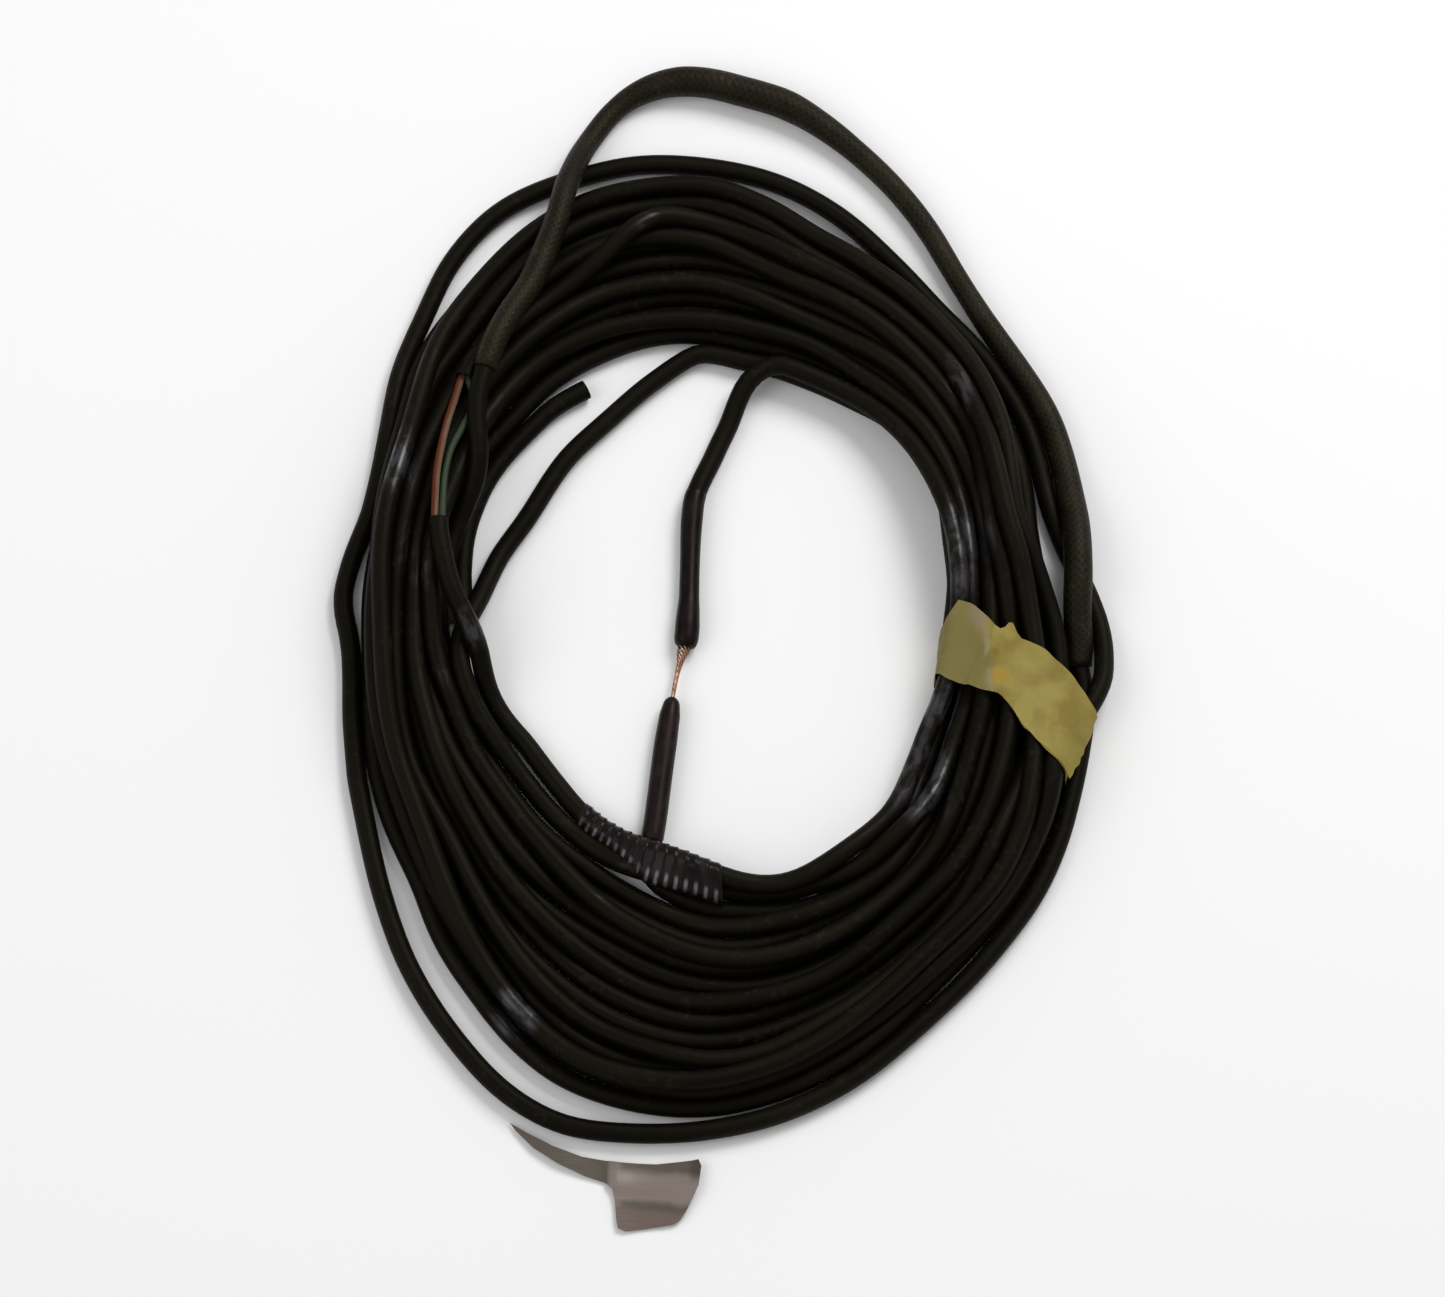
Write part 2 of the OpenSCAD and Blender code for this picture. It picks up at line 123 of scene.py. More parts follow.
# %% The coil's line
FIRST_ANGLE = 270
TURNS_ACROSS = 4
TURNS_CLIMBING = 0.5
TURNS_IN_LAYER = TURNS_ACROSS + TURNS_CLIMBING
WOUND_TURNS = 3 * TURNS_IN_LAYER + 25 / 24
START_HEIGHT = 0.002
LAYER_HEIGHT = 0.00645
TOUCHING = 0.0061


def wander(turn):
    """A slow sideways drift of about one, the same each time."""
    dice = np.random.default_rng(7)
    drift = 0
    for slowness in (0.7, 1.3, 1.9, 2.6, 3.4, 4.3):
        a, b = dice.normal(size=2)
        phase = 2 * np.pi * slowness * turn
        drift = drift + (a * np.cos(phase + 5 * b) + b * np.sin(0.97 * phase + 3 * a)) / slowness ** 0.5
    return drift / 2.2


BOW_CLIMB = [0, 0.056, 0.111, 0.167, 0.222, 0.278, 0.333, 0.389, 0.444, 0.5, 0.556, 0.611]
BOW_INWARD = [0, 9.5, 16, 19.5, 21, 22.3, 22, 20, 16, 10, 4, 0]
WRAP_ANGLE = 254
CLOSE_BY_WRAP = 0.005


def coil_line(turn):
    """The cable's centre after so many turns."""
    layer = np.floor(turn / TURNS_IN_LAYER + 1e-4)
    part = turn - layer * TURNS_IN_LAYER
    across = np.clip(part / TURNS_ACROSS, 0, 1)
    climb = np.clip((part - TURNS_ACROSS) / TURNS_CLIMBING, 0, 1)
    outward = layer % 2 == 0
    angle = FIRST_ANGLE + 360 * turn
    inner = edge_at(INNER_EDGE, angle) + CABLE_R
    outer = edge_at(OUTER_EDGE, angle) - CABLE_R
    spacing = (outer - inner) / TURNS_ACROSS
    # Even spirals, with a bow where the cable climbs.
    between = np.where(outward, across, 1 - across)
    bow = np.where(outward, 0.0012 * np.sin(np.pi * climb), -np.interp(climb, BOW_CLIMB, BOW_INWARD) / 1000)
    distance = inner + (outer - inner) * between + bow
    # The layers lean and the turns wander where there is room.
    room = np.maximum(0, spacing - 1.1 * CABLE)
    lean = 0.27 * (layer - 1) + 0.36 * np.sin(np.radians(2 * angle) + 1.9 * layer)
    lean = lean * np.minimum(1, 5 * between * (1 - between))
    distance = distance + room * lean + wander(turn) * np.minimum(0.28 * room + 0.0005, 0.003)
    # Under the glossy wrap the turns crowd towards the hole, so that less of the table shows between them.
    by_wrap = np.exp(-((angle % 360 - WRAP_ANGLE) / 15) ** 2)
    past_inner, before_outer = np.minimum(1, 2.5 * between), np.minimum(1, 2 * (1 - between))
    distance = distance - CLOSE_BY_WRAP * by_wrap * past_inner * before_outer
    # Where turns are squeezed, every second one rides higher.
    squeezed = np.sqrt(np.maximum(0, TOUCHING ** 2 - spacing ** 2))
    floors = layer + climb * climb * (3 - 2 * climb)
    height = START_HEIGHT + (LAYER_HEIGHT + 0.6 * squeezed) * floors + squeezed * (np.floor(turn) % 2)
    return clock(np.stack([angle, 1000 * distance, 1000 * height], axis=1))


wound = coil_line(np.arange(0, WOUND_TURNS, 1 / 48))
print("the wound turns have", len(wound), "points")

# %% [markdown]
# ## The other stretches
# The same cable goes on from the last wound turn to the opened window, from the window round the hole to the
# splice, and from the splice back into the first wound turn. A second length makes the big loop at the top, dives
# under the tape and strays outside the coil, and a short cut end lies tucked inside the hole.

# %% Routes of the other stretches
WINDOW_TOP = clock([[131, 104.2, 34], [137, 100.2, 35]])
WINDOW_FOOT = clock([[171.5, 79.3, 38], [164.7, 82.8, 38]])
INNER_TURN = clock([
    [180.5, 75.4, 36], [187, 73, 31], [194, 71.6, 26], [201, 70.6, 20.5], [209, 69, 15],
    [217, 67.8, 11.5], [225, 68.8, 10], [233, 71, 10], [240, 74, 10.4], [247, 77, 11], [254, 79.6, 12.6],
    [262, 82.2, 14.4], [269, 85.2, 16.1], [277, 88.2, 18], [285, 90.6, 19.6], [293, 91.2, 21.2], [301, 89.8, 22],
    [310, 86, 24], [319, 80.8, 26], [328, 77.4, 28], [337, 76.4, 30], [347, 75.6, 32], [357, 76, 33],
    [8, 76.8, 33], [20, 78.8, 32], [32, 80.6, 29], [43, 81.2, 26], [53, 81, 23], [62, 80.4, 19.6],
    [69, 80.4, 16.4], [74.4, 80.2, 13.4], [79, 74.8, 10.6], [81.7, 66.5, 8.2],
    [83.3, 60.2, 7.2], [86.1, 53.1, 6.4], [88.9, 46.5, 5.6]])
UPPER_SLEEVE = square([[-2.7, 38.4, 4.5], [-4.1, 28.9, 4.5], [-4.8, 14, 4.5], [-5.2, 2, 4.5], [-6.2, -11.6, 4.5]])
LINK = square([[-6.9, -13.4, 4.4], [-8.3, -17.6, 4.1], [-9, -22.6, 4]])
LOWER_SLEEVE = square([[-9.9, -27.6, 4], [-13.2, -50.4, 4], [-16.2, -72.6, 3.8]])
LOWER_LEAD = square([[-16.9, -77, 3.4], [-16.5, -81, 3.1], [-14.6, -84.6, 3]])
LOOSE_LOOP = clock([
    [181, 82, 10], [174, 82.6, 12], [166, 82.6, 17], [159.5, 82, 23], [153.6, 81.6, 28.5], [146.8, 84.4, 33],
    [139, 91.8, 35], [133, 97.6, 34.4], [128, 103, 33.6], [123, 108.4, 32.8], [118, 114, 31.8], [113.6, 122.3, 30.2],
    [110, 131.1, 29.6], [106.8, 142.9, 24.8], [103.4, 155.5, 17.8], [99.4, 166.7, 11.2], [95, 172.3, 6.6],
    [90.6, 173, 4.9], [86, 170.4, 4.9], [81.4, 167.4, 4.9], [76.6, 162, 4.9], [71.6, 155.5, 4.9],
    [66.6, 148.9, 4.9], [61.4, 141.7, 4.9], [55.6, 133.8, 5.2], [49.2, 127.6, 7.4], [42.4, 123.2, 9.9],
    [35.6, 119.7, 10.8], [28.6, 117.5, 11.4], [21.6, 115.6, 11.6], [14, 113.9, 11.6], [9, 112.8, 11.6],
    [4, 112, 11.3], [-0.5, 111, 9.6], [-5, 110.7, 7.2], [-9.5, 110.5, 5.2], [-14, 115, 3.4], [-19, 118.5, 3],
    [-26, 122, 3], [-35, 126.6, 2.8], [-45, 132, 2.8], [-55, 138, 2.8], [-65, 144, 2.8], [-74, 152.2, 2.8],
    [-82, 158, 2.8], [-90, 161.6, 2.8], [-98, 164, 2.8], [-105, 164.9, 2.8], [-112, 160.4, 3.6],
    [-120, 151.2, 3.6], [-128, 141.8, 3], [-136, 132, 2.8], [-144, 123.4, 2.8], [-152, 116, 2.8],
    [-158, 110.4, 2.8], [-166, 106.8, 2.8], [-174, 106.4, 2.8], [-182, 109, 2.8], [-190, 107.4, 2.8],
    [-196, 105.6, 2.8], [-203, 106.9, 2.8], [-212, 112, 2.8], [-220, 120.4, 2.8], [-228, 128.4, 2.8],
    [-236, 138.2, 2.8], [-244, 145, 2.8], [-252, 147.3, 2.8], [-261, 147.9, 2.8], [-270, 145.5, 2.8],
    [-279, 141.7, 2.8], [-288, 135, 2.8], [-298, 125.8, 2.8], [-308, 118.5, 2.8], [-319, 116.8, 2.8],
    [-327, 116.4, 2.8], [-334, 113, 2.8], [-341, 110, 2.8], [-349, 110.5, 2.8], [-356, 114, 2.8], [-363, 117, 3.2],
    [-371, 118, 6.5], [-377, 116.6, 9.5], [-383, 115.4, 10.5], [-389, 114.8, 11], [-396, 114.8, 12],
    [-403, 115, 13]])
LOOP_SLEEVE_FIRST, LOOP_SLEEVE_LAST = 7, 35
TUCKED_END = clock([[117, 80.6, 2.8], [125, 80.6, 2.8], [134, 79.4, 2.8], [143, 79.2, 2.8], [152, 79.2, 2.8],
                    [162, 79, 2.8], [172, 77, 2.8], [182, 74, 2.8]])
print("the loose loop is given by", len(LOOSE_LOOP), "points")

# %% [markdown]
# ## One closed line through the splice
# The coil, the window, the inner turn and the splice are one cable in a ring. Treating them as one line keeps the
# joints whole while it settles. The helper walks a smooth curve through given points and remembers how far along
# each of them lies, so that the line can be cut up again later.

# %% Walk a smooth curve
FINE_STEPS = 8


def curve_through(points, spacing):
    """Evenly spaced points on a smooth curve through given points, and each given point's place among them."""
    points = np.asarray(points, float)
    padded = np.vstack([2 * points[0] - points[1], points, 2 * points[-1] - points[-2]])
    shares = np.linspace(0, 1, FINE_STEPS, endpoint=False)[:, None]
    fine = [smooth_between(p, q, r, s, shares)
            for p, q, r, s in zip(padded, padded[1:], padded[2:], padded[3:])]
    fine = np.vstack(fine + [points[-1:]])
    far = np.concatenate([[0], np.cumsum(np.linalg.norm(np.diff(fine, axis=0), axis=1))])
    count = max(2, round(far[-1] / spacing) + 1)
    steps = np.linspace(0, far[-1], count)
    even = np.stack([np.interp(steps, far, fine[:, k]) for k in range(3)], axis=1)
    return even, far[np.arange(len(points)) * FINE_STEPS] / far[-1] * (count - 1)


def unit(v):
    """The same direction, one metre long."""
    return v / np.linalg.norm(v)


print("the inner turn, a point every 5 mm:", len(curve_through(INNER_TURN, 0.005)[0]), "points")

# %% Join the stretches
STEP = 0.0065
BARE_LENGTH = 0.010
upper_mouth = WINDOW_TOP[0] + BARE_LENGTH * unit(WINDOW_TOP[1] - WINDOW_TOP[0])
lower_mouth = WINDOW_FOOT[0] + BARE_LENGTH * unit(WINDOW_FOOT[1] - WINDOW_FOOT[0])
window_bow = np.array([-0.0028, 0.001, 0])
before_window = [wound[-1] + (WINDOW_TOP[0] - wound[-1]) * share for share in (0.35, 0.6, 0.8)]
in_window = [upper_mouth + (lower_mouth - upper_mouth) * share + window_bow for share in (0.34, 0.67)]
stretches = {
    "lower_sleeve": [*LOWER_SLEEVE[:2]],
    "lead": [LOWER_SLEEVE[2], *LOWER_LEAD],
    "coil": list(wound),
    "above": before_window,
    "upper_bare": [WINDOW_TOP[0]],
    "window": [upper_mouth, *in_window],
    "lower_bare": [lower_mouth],
    "inner": [WINDOW_FOOT[0], *INNER_TURN],
    "upper_sleeve": [*UPPER_SLEEVE[:-1]],
    "link": [UPPER_SLEEVE[-1], *LINK],
}
ring_points = np.vstack([np.array(p) for p in stretches.values()] + [LOWER_SLEEVE[:1]])
ring, places = curve_through(ring_points, STEP)
firsts = np.cumsum([0] + [len(p) for p in stretches.values()])
cuts = {name: (places[a], places[b]) for name, a, b in zip(stretches, firsts, firsts[1:])}
loop, loop_places = curve_through(LOOSE_LOOP, STEP)
tucked, _ = curve_through(TUCKED_END, STEP)
print("the closed cable has", len(ring), "points and the loose loop", len(loop))

# %% [markdown]
# ## Letting the cable settle
# Blender's rigid bodies can't bend, and its cloth is slow for ten metres of cable, so here the cable is a string of
# short rods. In every round each point sinks a little, bends back towards its own curve, keeps its distance
# from its neighbours along the cable, and is pushed out of any rod that it has entered and out of the table.
# Points are also drawn weakly towards their place in plan, because real cable has friction.

# %% Find the nearest points of many pairs of rods
PAIRS_AT_ONCE = 400
NEIGHBOURS = 4


def between_rods(a0, a1, b0, b1):
    """For pairs of rods: how far along each the nearest points lie, and the step between them."""
    u, v, w = a1 - a0, b1 - b0, a0 - b0
    uu, uv, vv = (u * u).sum(1), (u * v).sum(1), (v * v).sum(1)
    uw, vw = (u * w).sum(1), (v * w).sum(1)
    flatness = uu * vv - uv * uv
    s = np.where(flatness > 1e-16, (uv * vw - vv * uw) / np.maximum(flatness, 1e-16), 0.5)
    s = np.clip(s, 0, 1)
    t = np.clip((uv * s + vw) / vv, 0, 1)
    s = np.clip((uv * t - uw) / uu, 0, 1)
    return s, t, w + s[:, None] * u - t[:, None] * v


def near_pairs(middles, reach, first_point, line, ring_size):
    """The pairs of rods that could touch, leaving out close neighbours on one line."""
    found = []
    for start in range(0, len(middles), PAIRS_AT_ONCE):
        far = np.abs(middles[start:start + PAIRS_AT_ONCE, None, :2] - middles[None, :, :2]).max(2)
        i, j = np.nonzero(far < reach)
        found.append(np.stack([i + start, j]))
    i, j = np.concatenate(found, axis=1)
    apart = np.abs(first_point[i] - first_point[j])
    same = line[i] == line[j]
    apart = np.where(same & (line[i] == 0), np.minimum(apart, ring_size - apart), apart)
    keep = (i < j) & ~(same & (apart < NEIGHBOURS))
    i, j = i[keep], j[keep]
    keep = np.linalg.norm(middles[i] - middles[j], axis=1) < reach
    return i[keep], j[keep]


test_rods = np.array([[[0, 0, 0]], [[1, 0, 0]], [[0.5, -1, 0.2]], [[0.5, 1, 0.2]]], float)
print("two crossing rods, 0.2 apart:", between_rods(*test_rods))

# %% Settle the lines
FALL = 0.02
HOLD = 0.02


def settle(lines, radii, rounds):
    """Lets the lines, the first of them closed, come to rest on the table and on each other."""
    place = np.vstack(lines)
    home = place.copy()
    radius = np.concatenate(radii)
    starts = np.cumsum([0] + [len(line) for line in lines])
    # The rods run from points a to points b, and each bend takes three points in a row.
    ends_a, ends_b, bends = [], [], []
    for k, first in enumerate(starts[:-1]):
        index = np.arange(first, starts[k + 1])
        if k == 0:
            index = np.append(index, index[:2])
            ends_a.append(index[:-2])
            ends_b.append(index[1:-1])
        else:
            ends_a.append(index[:-1])
            ends_b.append(index[1:])
        bends.append(np.stack([index[:-2], index[1:-1], index[2:]], axis=1))
    a, b, bends = np.concatenate(ends_a), np.concatenate(ends_b), np.vstack(bends)
    line_of = np.searchsorted(starts, a, side="right") - 1
    length = np.linalg.norm(place[b] - place[a], axis=1)
    own_bend = place[bends[:, 1]] - (place[bends[:, 0]] + place[bends[:, 2]]) / 2
    own_bend[:, 2] = 0
    rod_r = np.maximum(radius[a], radius[b])
    reach = length.max() + 2 * radius.max() + 0.002
    sink, often = FALL / rounds, 15 if rounds > 100 else 4
    for step in range(rounds):
        if step % often == 0:
            i, j = near_pairs((place[a] + place[b]) / 2, reach, a, line_of, starts[1])
        place[:, 2] -= sink * (1 if step < 0.8 * rounds else 0.3)
        place[:, :2] += HOLD * (home[:, :2] - place[:, :2])
        for _ in range(2):
            # Every bend goes part of the way back to its own shape in plan.
            wish = (place[bends[:, 0]] + place[bends[:, 2]]) / 2 + own_bend - place[bends[:, 1]]
            move = np.zeros_like(place)
            for column, share in ((1, 0.15), (0, -0.075), (2, -0.075)):
                np.add.at(move, bends[:, column], share * wish)
            place += move
            # The rods keep their lengths, the even ones first and then the odd ones.
            for parity in (0, 1):
                some = np.nonzero(a % 2 == parity)[0]
                along = place[b[some]] - place[a[some]]
                size = np.linalg.norm(along, axis=1)
                pull = along * ((size - length[some]) / size / 2)[:, None]
                place[a[some]] += pull
                place[b[some]] -= pull
            # Rods that have entered each other are pushed apart, and the table pushes up.
            s, t, step_between = between_rods(place[a[i]], place[b[i]], place[a[j]], place[b[j]])
            size = np.linalg.norm(step_between, axis=1)
            deep = rod_r[i] + rod_r[j] - size
            hit = deep > 0
            push = step_between[hit] * (deep[hit] / np.maximum(size[hit], 1e-9) / 2)[:, None]
            ih, jh, sh, th = i[hit], j[hit], s[hit][:, None], t[hit][:, None]
            move, weight = np.zeros_like(place), np.zeros(len(place))
            pushed = ((a[ih], 1 - sh, 1), (b[ih], sh, 1), (a[jh], 1 - th, -1), (b[jh], th, -1))
            for points, share, way in pushed:
                np.add.at(move, points, way * push * share)
                np.add.at(weight, points, share[:, 0])
            place += 1.2 * move / np.maximum(1, weight)[:, None]
            place[:, 2] = np.maximum(place[:, 2], radius)
    print("settled: deepest overlap left", round(1000 * deep.max(), 2), "mm, top at",
          round(1000 * place[:, 2].max(), 1), "mm")
    return [place[x:y] for x, y in zip(starts, starts[1:])]


# %% Give each point its thickness and settle
SPLICE_RADII = {"upper_sleeve": 0.0038, "lower_sleeve": 0.0036, "link": 0.0022}
SLEEVE_PLACES = [7, 10.5, 12, 14, 15, 15.6, 16.5, 19, 19.6, 20.6, 21.6, 24.5, 26, 28, 31, 35]
SLEEVE_RADII = [3.7, 4.0, 3.8, 3.4, 3.3, 3.9, 4.7, 4.7, 4.2, 3.6, 3.5, 3.4, 3.6, 4.0, 4.4, 4.2]
ring_r = np.full(len(ring) - 1, CABLE_R)
for name, thick in SPLICE_RADII.items():
    first, last = (round(x) for x in cuts[name])
    ring_r[first:last + 1] = thick
loop_r = np.full(len(loop), CABLE_R)
first, last = (round(loop_places[k]) for k in (LOOP_SLEEVE_FIRST, LOOP_SLEEVE_LAST))
loop_r[first:last + 1] = np.interp(
    np.arange(first, last + 1), np.interp(SLEEVE_PLACES, np.arange(len(loop_places)), loop_places),
    SLEEVE_RADII) / 1000
rounds = 300
ring_rest, loop_rest, tucked_rest = settle(
    [ring[:-1], loop, tucked], [ring_r, loop_r, np.full(len(tucked), CABLE_R)], rounds)
ring_rest = np.vstack([ring_rest, ring_rest[:1]])

# %% [markdown]
# ## A skin for a line
# A curve with a round bevel would do for a plain cable, but a mesh tube keeps its own length and girth in metres
# as its UV map. Patterns such as braid, ribs and scuffs then follow the cable round every bend at true scale.

# %% Cut a stretch from a settled line
SKIN_STEP = 0.003


def stretch_of(line, first, last, spacing=SKIN_STEP):
    """A fine, smooth centreline between two places on a settled line."""
    fine, marks = curve_through(line, spacing)
    here = np.interp([first, last], np.arange(len(line)), marks)
    steps = np.linspace(here[0], here[1], max(3, round(here[1] - here[0]) + 1))
    return np.stack([np.interp(steps, np.arange(len(fine)), fine[:, k]) for k in range(3)], axis=1)


def lengths_along(path):
    """How far along a path each of its points lies."""
    return np.concatenate([[0], np.cumsum(np.linalg.norm(np.diff(path, axis=0), axis=1))])


print("the settled closed cable is", round(float(lengths_along(ring_rest)[-1]), 3), "m long, all the way round")

# %% Rings along a path
def rings_along(path, radius, sides):
    """A ring of points round every point of a path, carried along it without twisting."""
    path = np.asarray(path, float)
    radius = np.broadcast_to(np.asarray(radius, float).T, (sides, len(path))).T
    along = np.gradient(path, axis=0)
    side = np.cross(along[0], [0, 0, 1])
    turn = np.arange(sides) / sides * 2 * np.pi
    rings = []
    for centre, ahead, r in zip(path, along, radius):
        ahead = unit(ahead)
        side = unit(side - ahead * side.dot(ahead))
        up = np.cross(side, ahead)
        rings.append(centre + r[:, None] * (np.outer(np.cos(turn), side) + np.outer(np.sin(turn), up)))
    return rings


print("the settled tucked end gives", len(rings_along(tucked_rest, CABLE_R, 12)), "rings of 12 points")

# %% A mesh through the rings
def skin(name, rings, far, girth, joined=False):
    """A closed mesh through a row of rings: capped at both ends, or joined from the last ring to the first."""
    sides = len(rings[0])
    count = len(rings)
    faces, uv = [], []
    for k in range(count if joined else count - 1):
        nxt = (k + 1) % count
        u0, u1 = far[k], far[nxt]
        for s in range(sides):
            t = (s + 1) % sides
            faces.append((k * sides + s, nxt * sides + s, nxt * sides + t, k * sides + t))
            v0, v1 = s / sides * girth, (s + 1) / sides * girth
            uv += [u0, v0, u1, v0, u1, v1, u0, v1]
    smooth = [True] * len(faces)
    last_ring = (count - 1) * sides
    if not joined:
        faces.append(tuple(range(sides)))
        faces.append(tuple(reversed(range(last_ring, count * sides))))
        smooth += [False, False]
        uv += [0.0] * (4 * sides)
    mesh = bpy.data.meshes.new(name)
    mesh.from_pydata(np.vstack(rings).tolist(), [], faces)
    mesh.uv_layers.new(name="UVMap").data.foreach_set("uv", uv)
    mesh.polygons.foreach_set("use_smooth", smooth)
    for edge in mesh.edges:
        if not joined and (max(edge.vertices) < sides or min(edge.vertices) >= last_ring):
            edge.use_edge_sharp = True
    piece = bpy.data.objects.new(name, mesh)
    bpy.context.scene.collection.objects.link(piece)
    return piece


# %% A full tube, an open sleeve and a hollow end
def tube(name, path, radius, sides=12):
    """A solid round length. The radius is one number, one for each ring, or one for each point."""
    far = lengths_along(path)
    piece = skin(name, rings_along(path, radius, sides), far, 2 * np.pi * float(np.median(radius)))
    print(name, "is", round(1000 * float(far[-1]), 1), "mm long")
    return piece


def sleeve(name, path, outer, inner, sides=24):
    """A wall with a bore right through it."""
    outside = rings_along(path, outer, sides)
    inside = rings_along(path, inner, sides)[::-1]
    far = lengths_along(path)
    return skin(name, outside + inside, np.concatenate([far, far[::-1]]),
                2 * np.pi * float(np.median(outer)), joined=True)


def hollow_end(name, path, outer, inner, depth, sides=24):
    """A length that is solid at its start and hollow from its end inwards for some depth."""
    far = lengths_along(path)
    bored = [k for k in range(len(path)) if far[k] >= far[-1] - depth]
    outside = rings_along(path, outer, sides)
    inside = rings_along(path, inner, sides)
    return skin(name, outside + [inside[k] for k in reversed(bored)],
                np.concatenate([far, far[bored][::-1]]), 2 * np.pi * float(np.median(outer)))


def dress(piece, node, slot, material):
    """Lets a piece move with the model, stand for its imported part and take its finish."""
    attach(piece, "root")
    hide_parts(node)
    piece.data.materials.clear()
    piece.data.materials.append(material)
    return piece


# %% [markdown]
# ## Writing a material as a sum
# A material's numbers are easiest to read as arithmetic. The small class below wraps one output of a node, and
# every sum or product of it adds the Math node that does it. Colours go through Mix nodes instead.

# %% Numbers that vary over a surface
class Amount:
    """One output of a node, which can be added to, taken from and multiplied as if it were a number."""

    def __init__(self, paint, socket):
        self.paint, self.socket = paint, socket

    def math(self, operation, first, second):
        return self.paint.node("Math", {"operation": operation}, 0, {0: first, 1: second})

    def __add__(self, other):
        return self.math("ADD", self, other)

    def __radd__(self, other):
        return self.math("ADD", other, self)

    def __sub__(self, other):
        return self.math("SUBTRACT", self, other)

    def __rsub__(self, other):
        return self.math("SUBTRACT", other, self)

    def __mul__(self, other):
        return self.math("MULTIPLY", self, other)

    def __rmul__(self, other):
        return self.math("MULTIPLY", other, self)

    def wave(self):
        """From 0 to 1 and back as the value grows by one."""
        return self.math("PINGPONG", self * 2, 1.0)

    def over(self, low, high):
        """0 below low, 1 above high, and a smooth step between."""
        return self.paint.node("MapRange", {"interpolation_type": "SMOOTHSTEP"}, "Result",
                               {"Value": self, "From Min": low, "From Max": high})


# %% A material with its node maker
class Paint:
    """One material: its shader, and a maker for the nodes behind it."""

    def __init__(self, name, **numbers):
        self.material = bpy.data.materials.new(name)
        self.material.use_nodes = True
        self.tree = self.material.node_tree
        self.shader = self.tree.nodes["Principled BSDF"]
        for key, value in numbers.items():
            self.set(key.replace("_", " ").title().replace("Ior", "IOR"), value)
        print("mixed", name)

    def feed(self, port, value):
        """Links an amount to a socket, or writes a colour or a number into it."""
        if isinstance(value, Amount):
            self.tree.links.new(value.socket, port)
        elif isinstance(value, (tuple, list)) and port.type == "RGBA":
            port.default_value = (*value, 1)[:4]
        else:
            port.default_value = value

    def set(self, port, value):
        """Feeds a socket of the shader, given by its name."""
        self.feed(self.shader.inputs[port], value)

    def node(self, kind, settings, output, values):
        """Adds a node of a kind, makes its settings, fills its sockets and gives one of its outputs."""
        node = self.tree.nodes.new("ShaderNode" + kind)
        for key, value in settings.items():
            setattr(node, key, value)
        for key, value in values.items():
            self.feed(node.inputs[key], value)
        return Amount(self, node.outputs[output])

    def place(self):
        """A point of the model, in metres."""
        return self.node("TexCoord", {}, "Object", {})

    def uv(self):
        """A point of the UV map: the distance along a cable and the distance round it, in metres."""
        return self.node("TexCoord", {}, "UV", {})

    def parts(self, vector):
        """The first and the second number of a vector."""
        first = self.node("SeparateXYZ", {}, "X", {"Vector": vector})
        return first, Amount(self, first.socket.node.outputs["Y"])

    def noise(self, vector, scale, detail=2.0, rough=0.5, stretch=None):
        """Clouds of about a half, finer as the scale grows, and drawn out along an axis by a stretch below 1."""
        if stretch:
            vector = self.node("Mapping", {}, "Vector", {"Vector": vector, "Scale": stretch})
        return self.node("TexNoise", {}, "Fac",
                         {"Vector": vector, "Scale": scale, "Detail": detail, "Roughness": rough})

    def blend(self, share, first, second):
        """The first colour where the share is 0, the second where it is 1."""
        return self.node("Mix", {"data_type": "RGBA"}, 2, {0: share, 6: first, 7: second})

    def near(self, point, size, soft=0.6, lengthen=1.0):
        """1 close to a point of the model, 0 further than a size from it. Lengthening draws the spot out in y."""
        squash = (1, 1 / lengthen, 1)
        place = self.node("VectorMath", {"operation": "MULTIPLY"}, "Vector", {0: self.place(), 1: squash})
        far = self.node("VectorMath", {"operation": "DISTANCE"}, "Value",
                        {0: place, 1: tuple(a * b for a, b in zip(point, squash))})
        return 1 - far.over(size * (1 - soft), size)

    def bump(self, height, depth):
        """Raises the surface by the height, which goes from 0 to 1, to a depth in metres."""
        self.set("Normal", self.node("Bump", {}, "Normal", {"Height": height, "Distance": depth}))


# %% [markdown]
# ## The jacket
# The jacket is soft black plastic with a touch of brown. Handled cable is never one black: some lengths are
# polished by tape glue and shine, others are dusty, and round the polished places a pale highlight is painted into
# the colour. Slow noise along the cable changes the shade and the shine from turn to turn, and a fine grain breaks
# the highlight.

# %% Jacket plastic
# Spots where the jacket is glossier and a pale highlight is painted into its colour: place, size, lengthening.
GLOSS_AND_HIGHLIGHT_SPOTS = [((-0.0725, -0.0043, 0.022), 0.009, 1), ((-0.0800, -0.0180, 0.020), 0.007, 2.2),
            ((-0.0955, 0.0500, 0.022), 0.007, 2), ((-0.0905, 0.0174, 0.022), 0.0065, 2.5),
            ((-0.0965, 0.0844, 0.020), 0.010, 1.4), ((0.0715, 0.0755, 0.022), 0.007, 3),
            ((0.0750, 0.0230, 0.022), 0.009, 3), ((0.0656, -0.0260, 0.015), 0.008, 1.5),
            ((0.0610, -0.0480, 0.015), 0.013, 1.5), ((-0.0590, -0.1200, 0.010), 0.010, 1),
            ((-0.0299, -0.0800, 0.015), 0.009, 1), ((-0.0200, 0.1290, 0.022), 0.008, 1)]


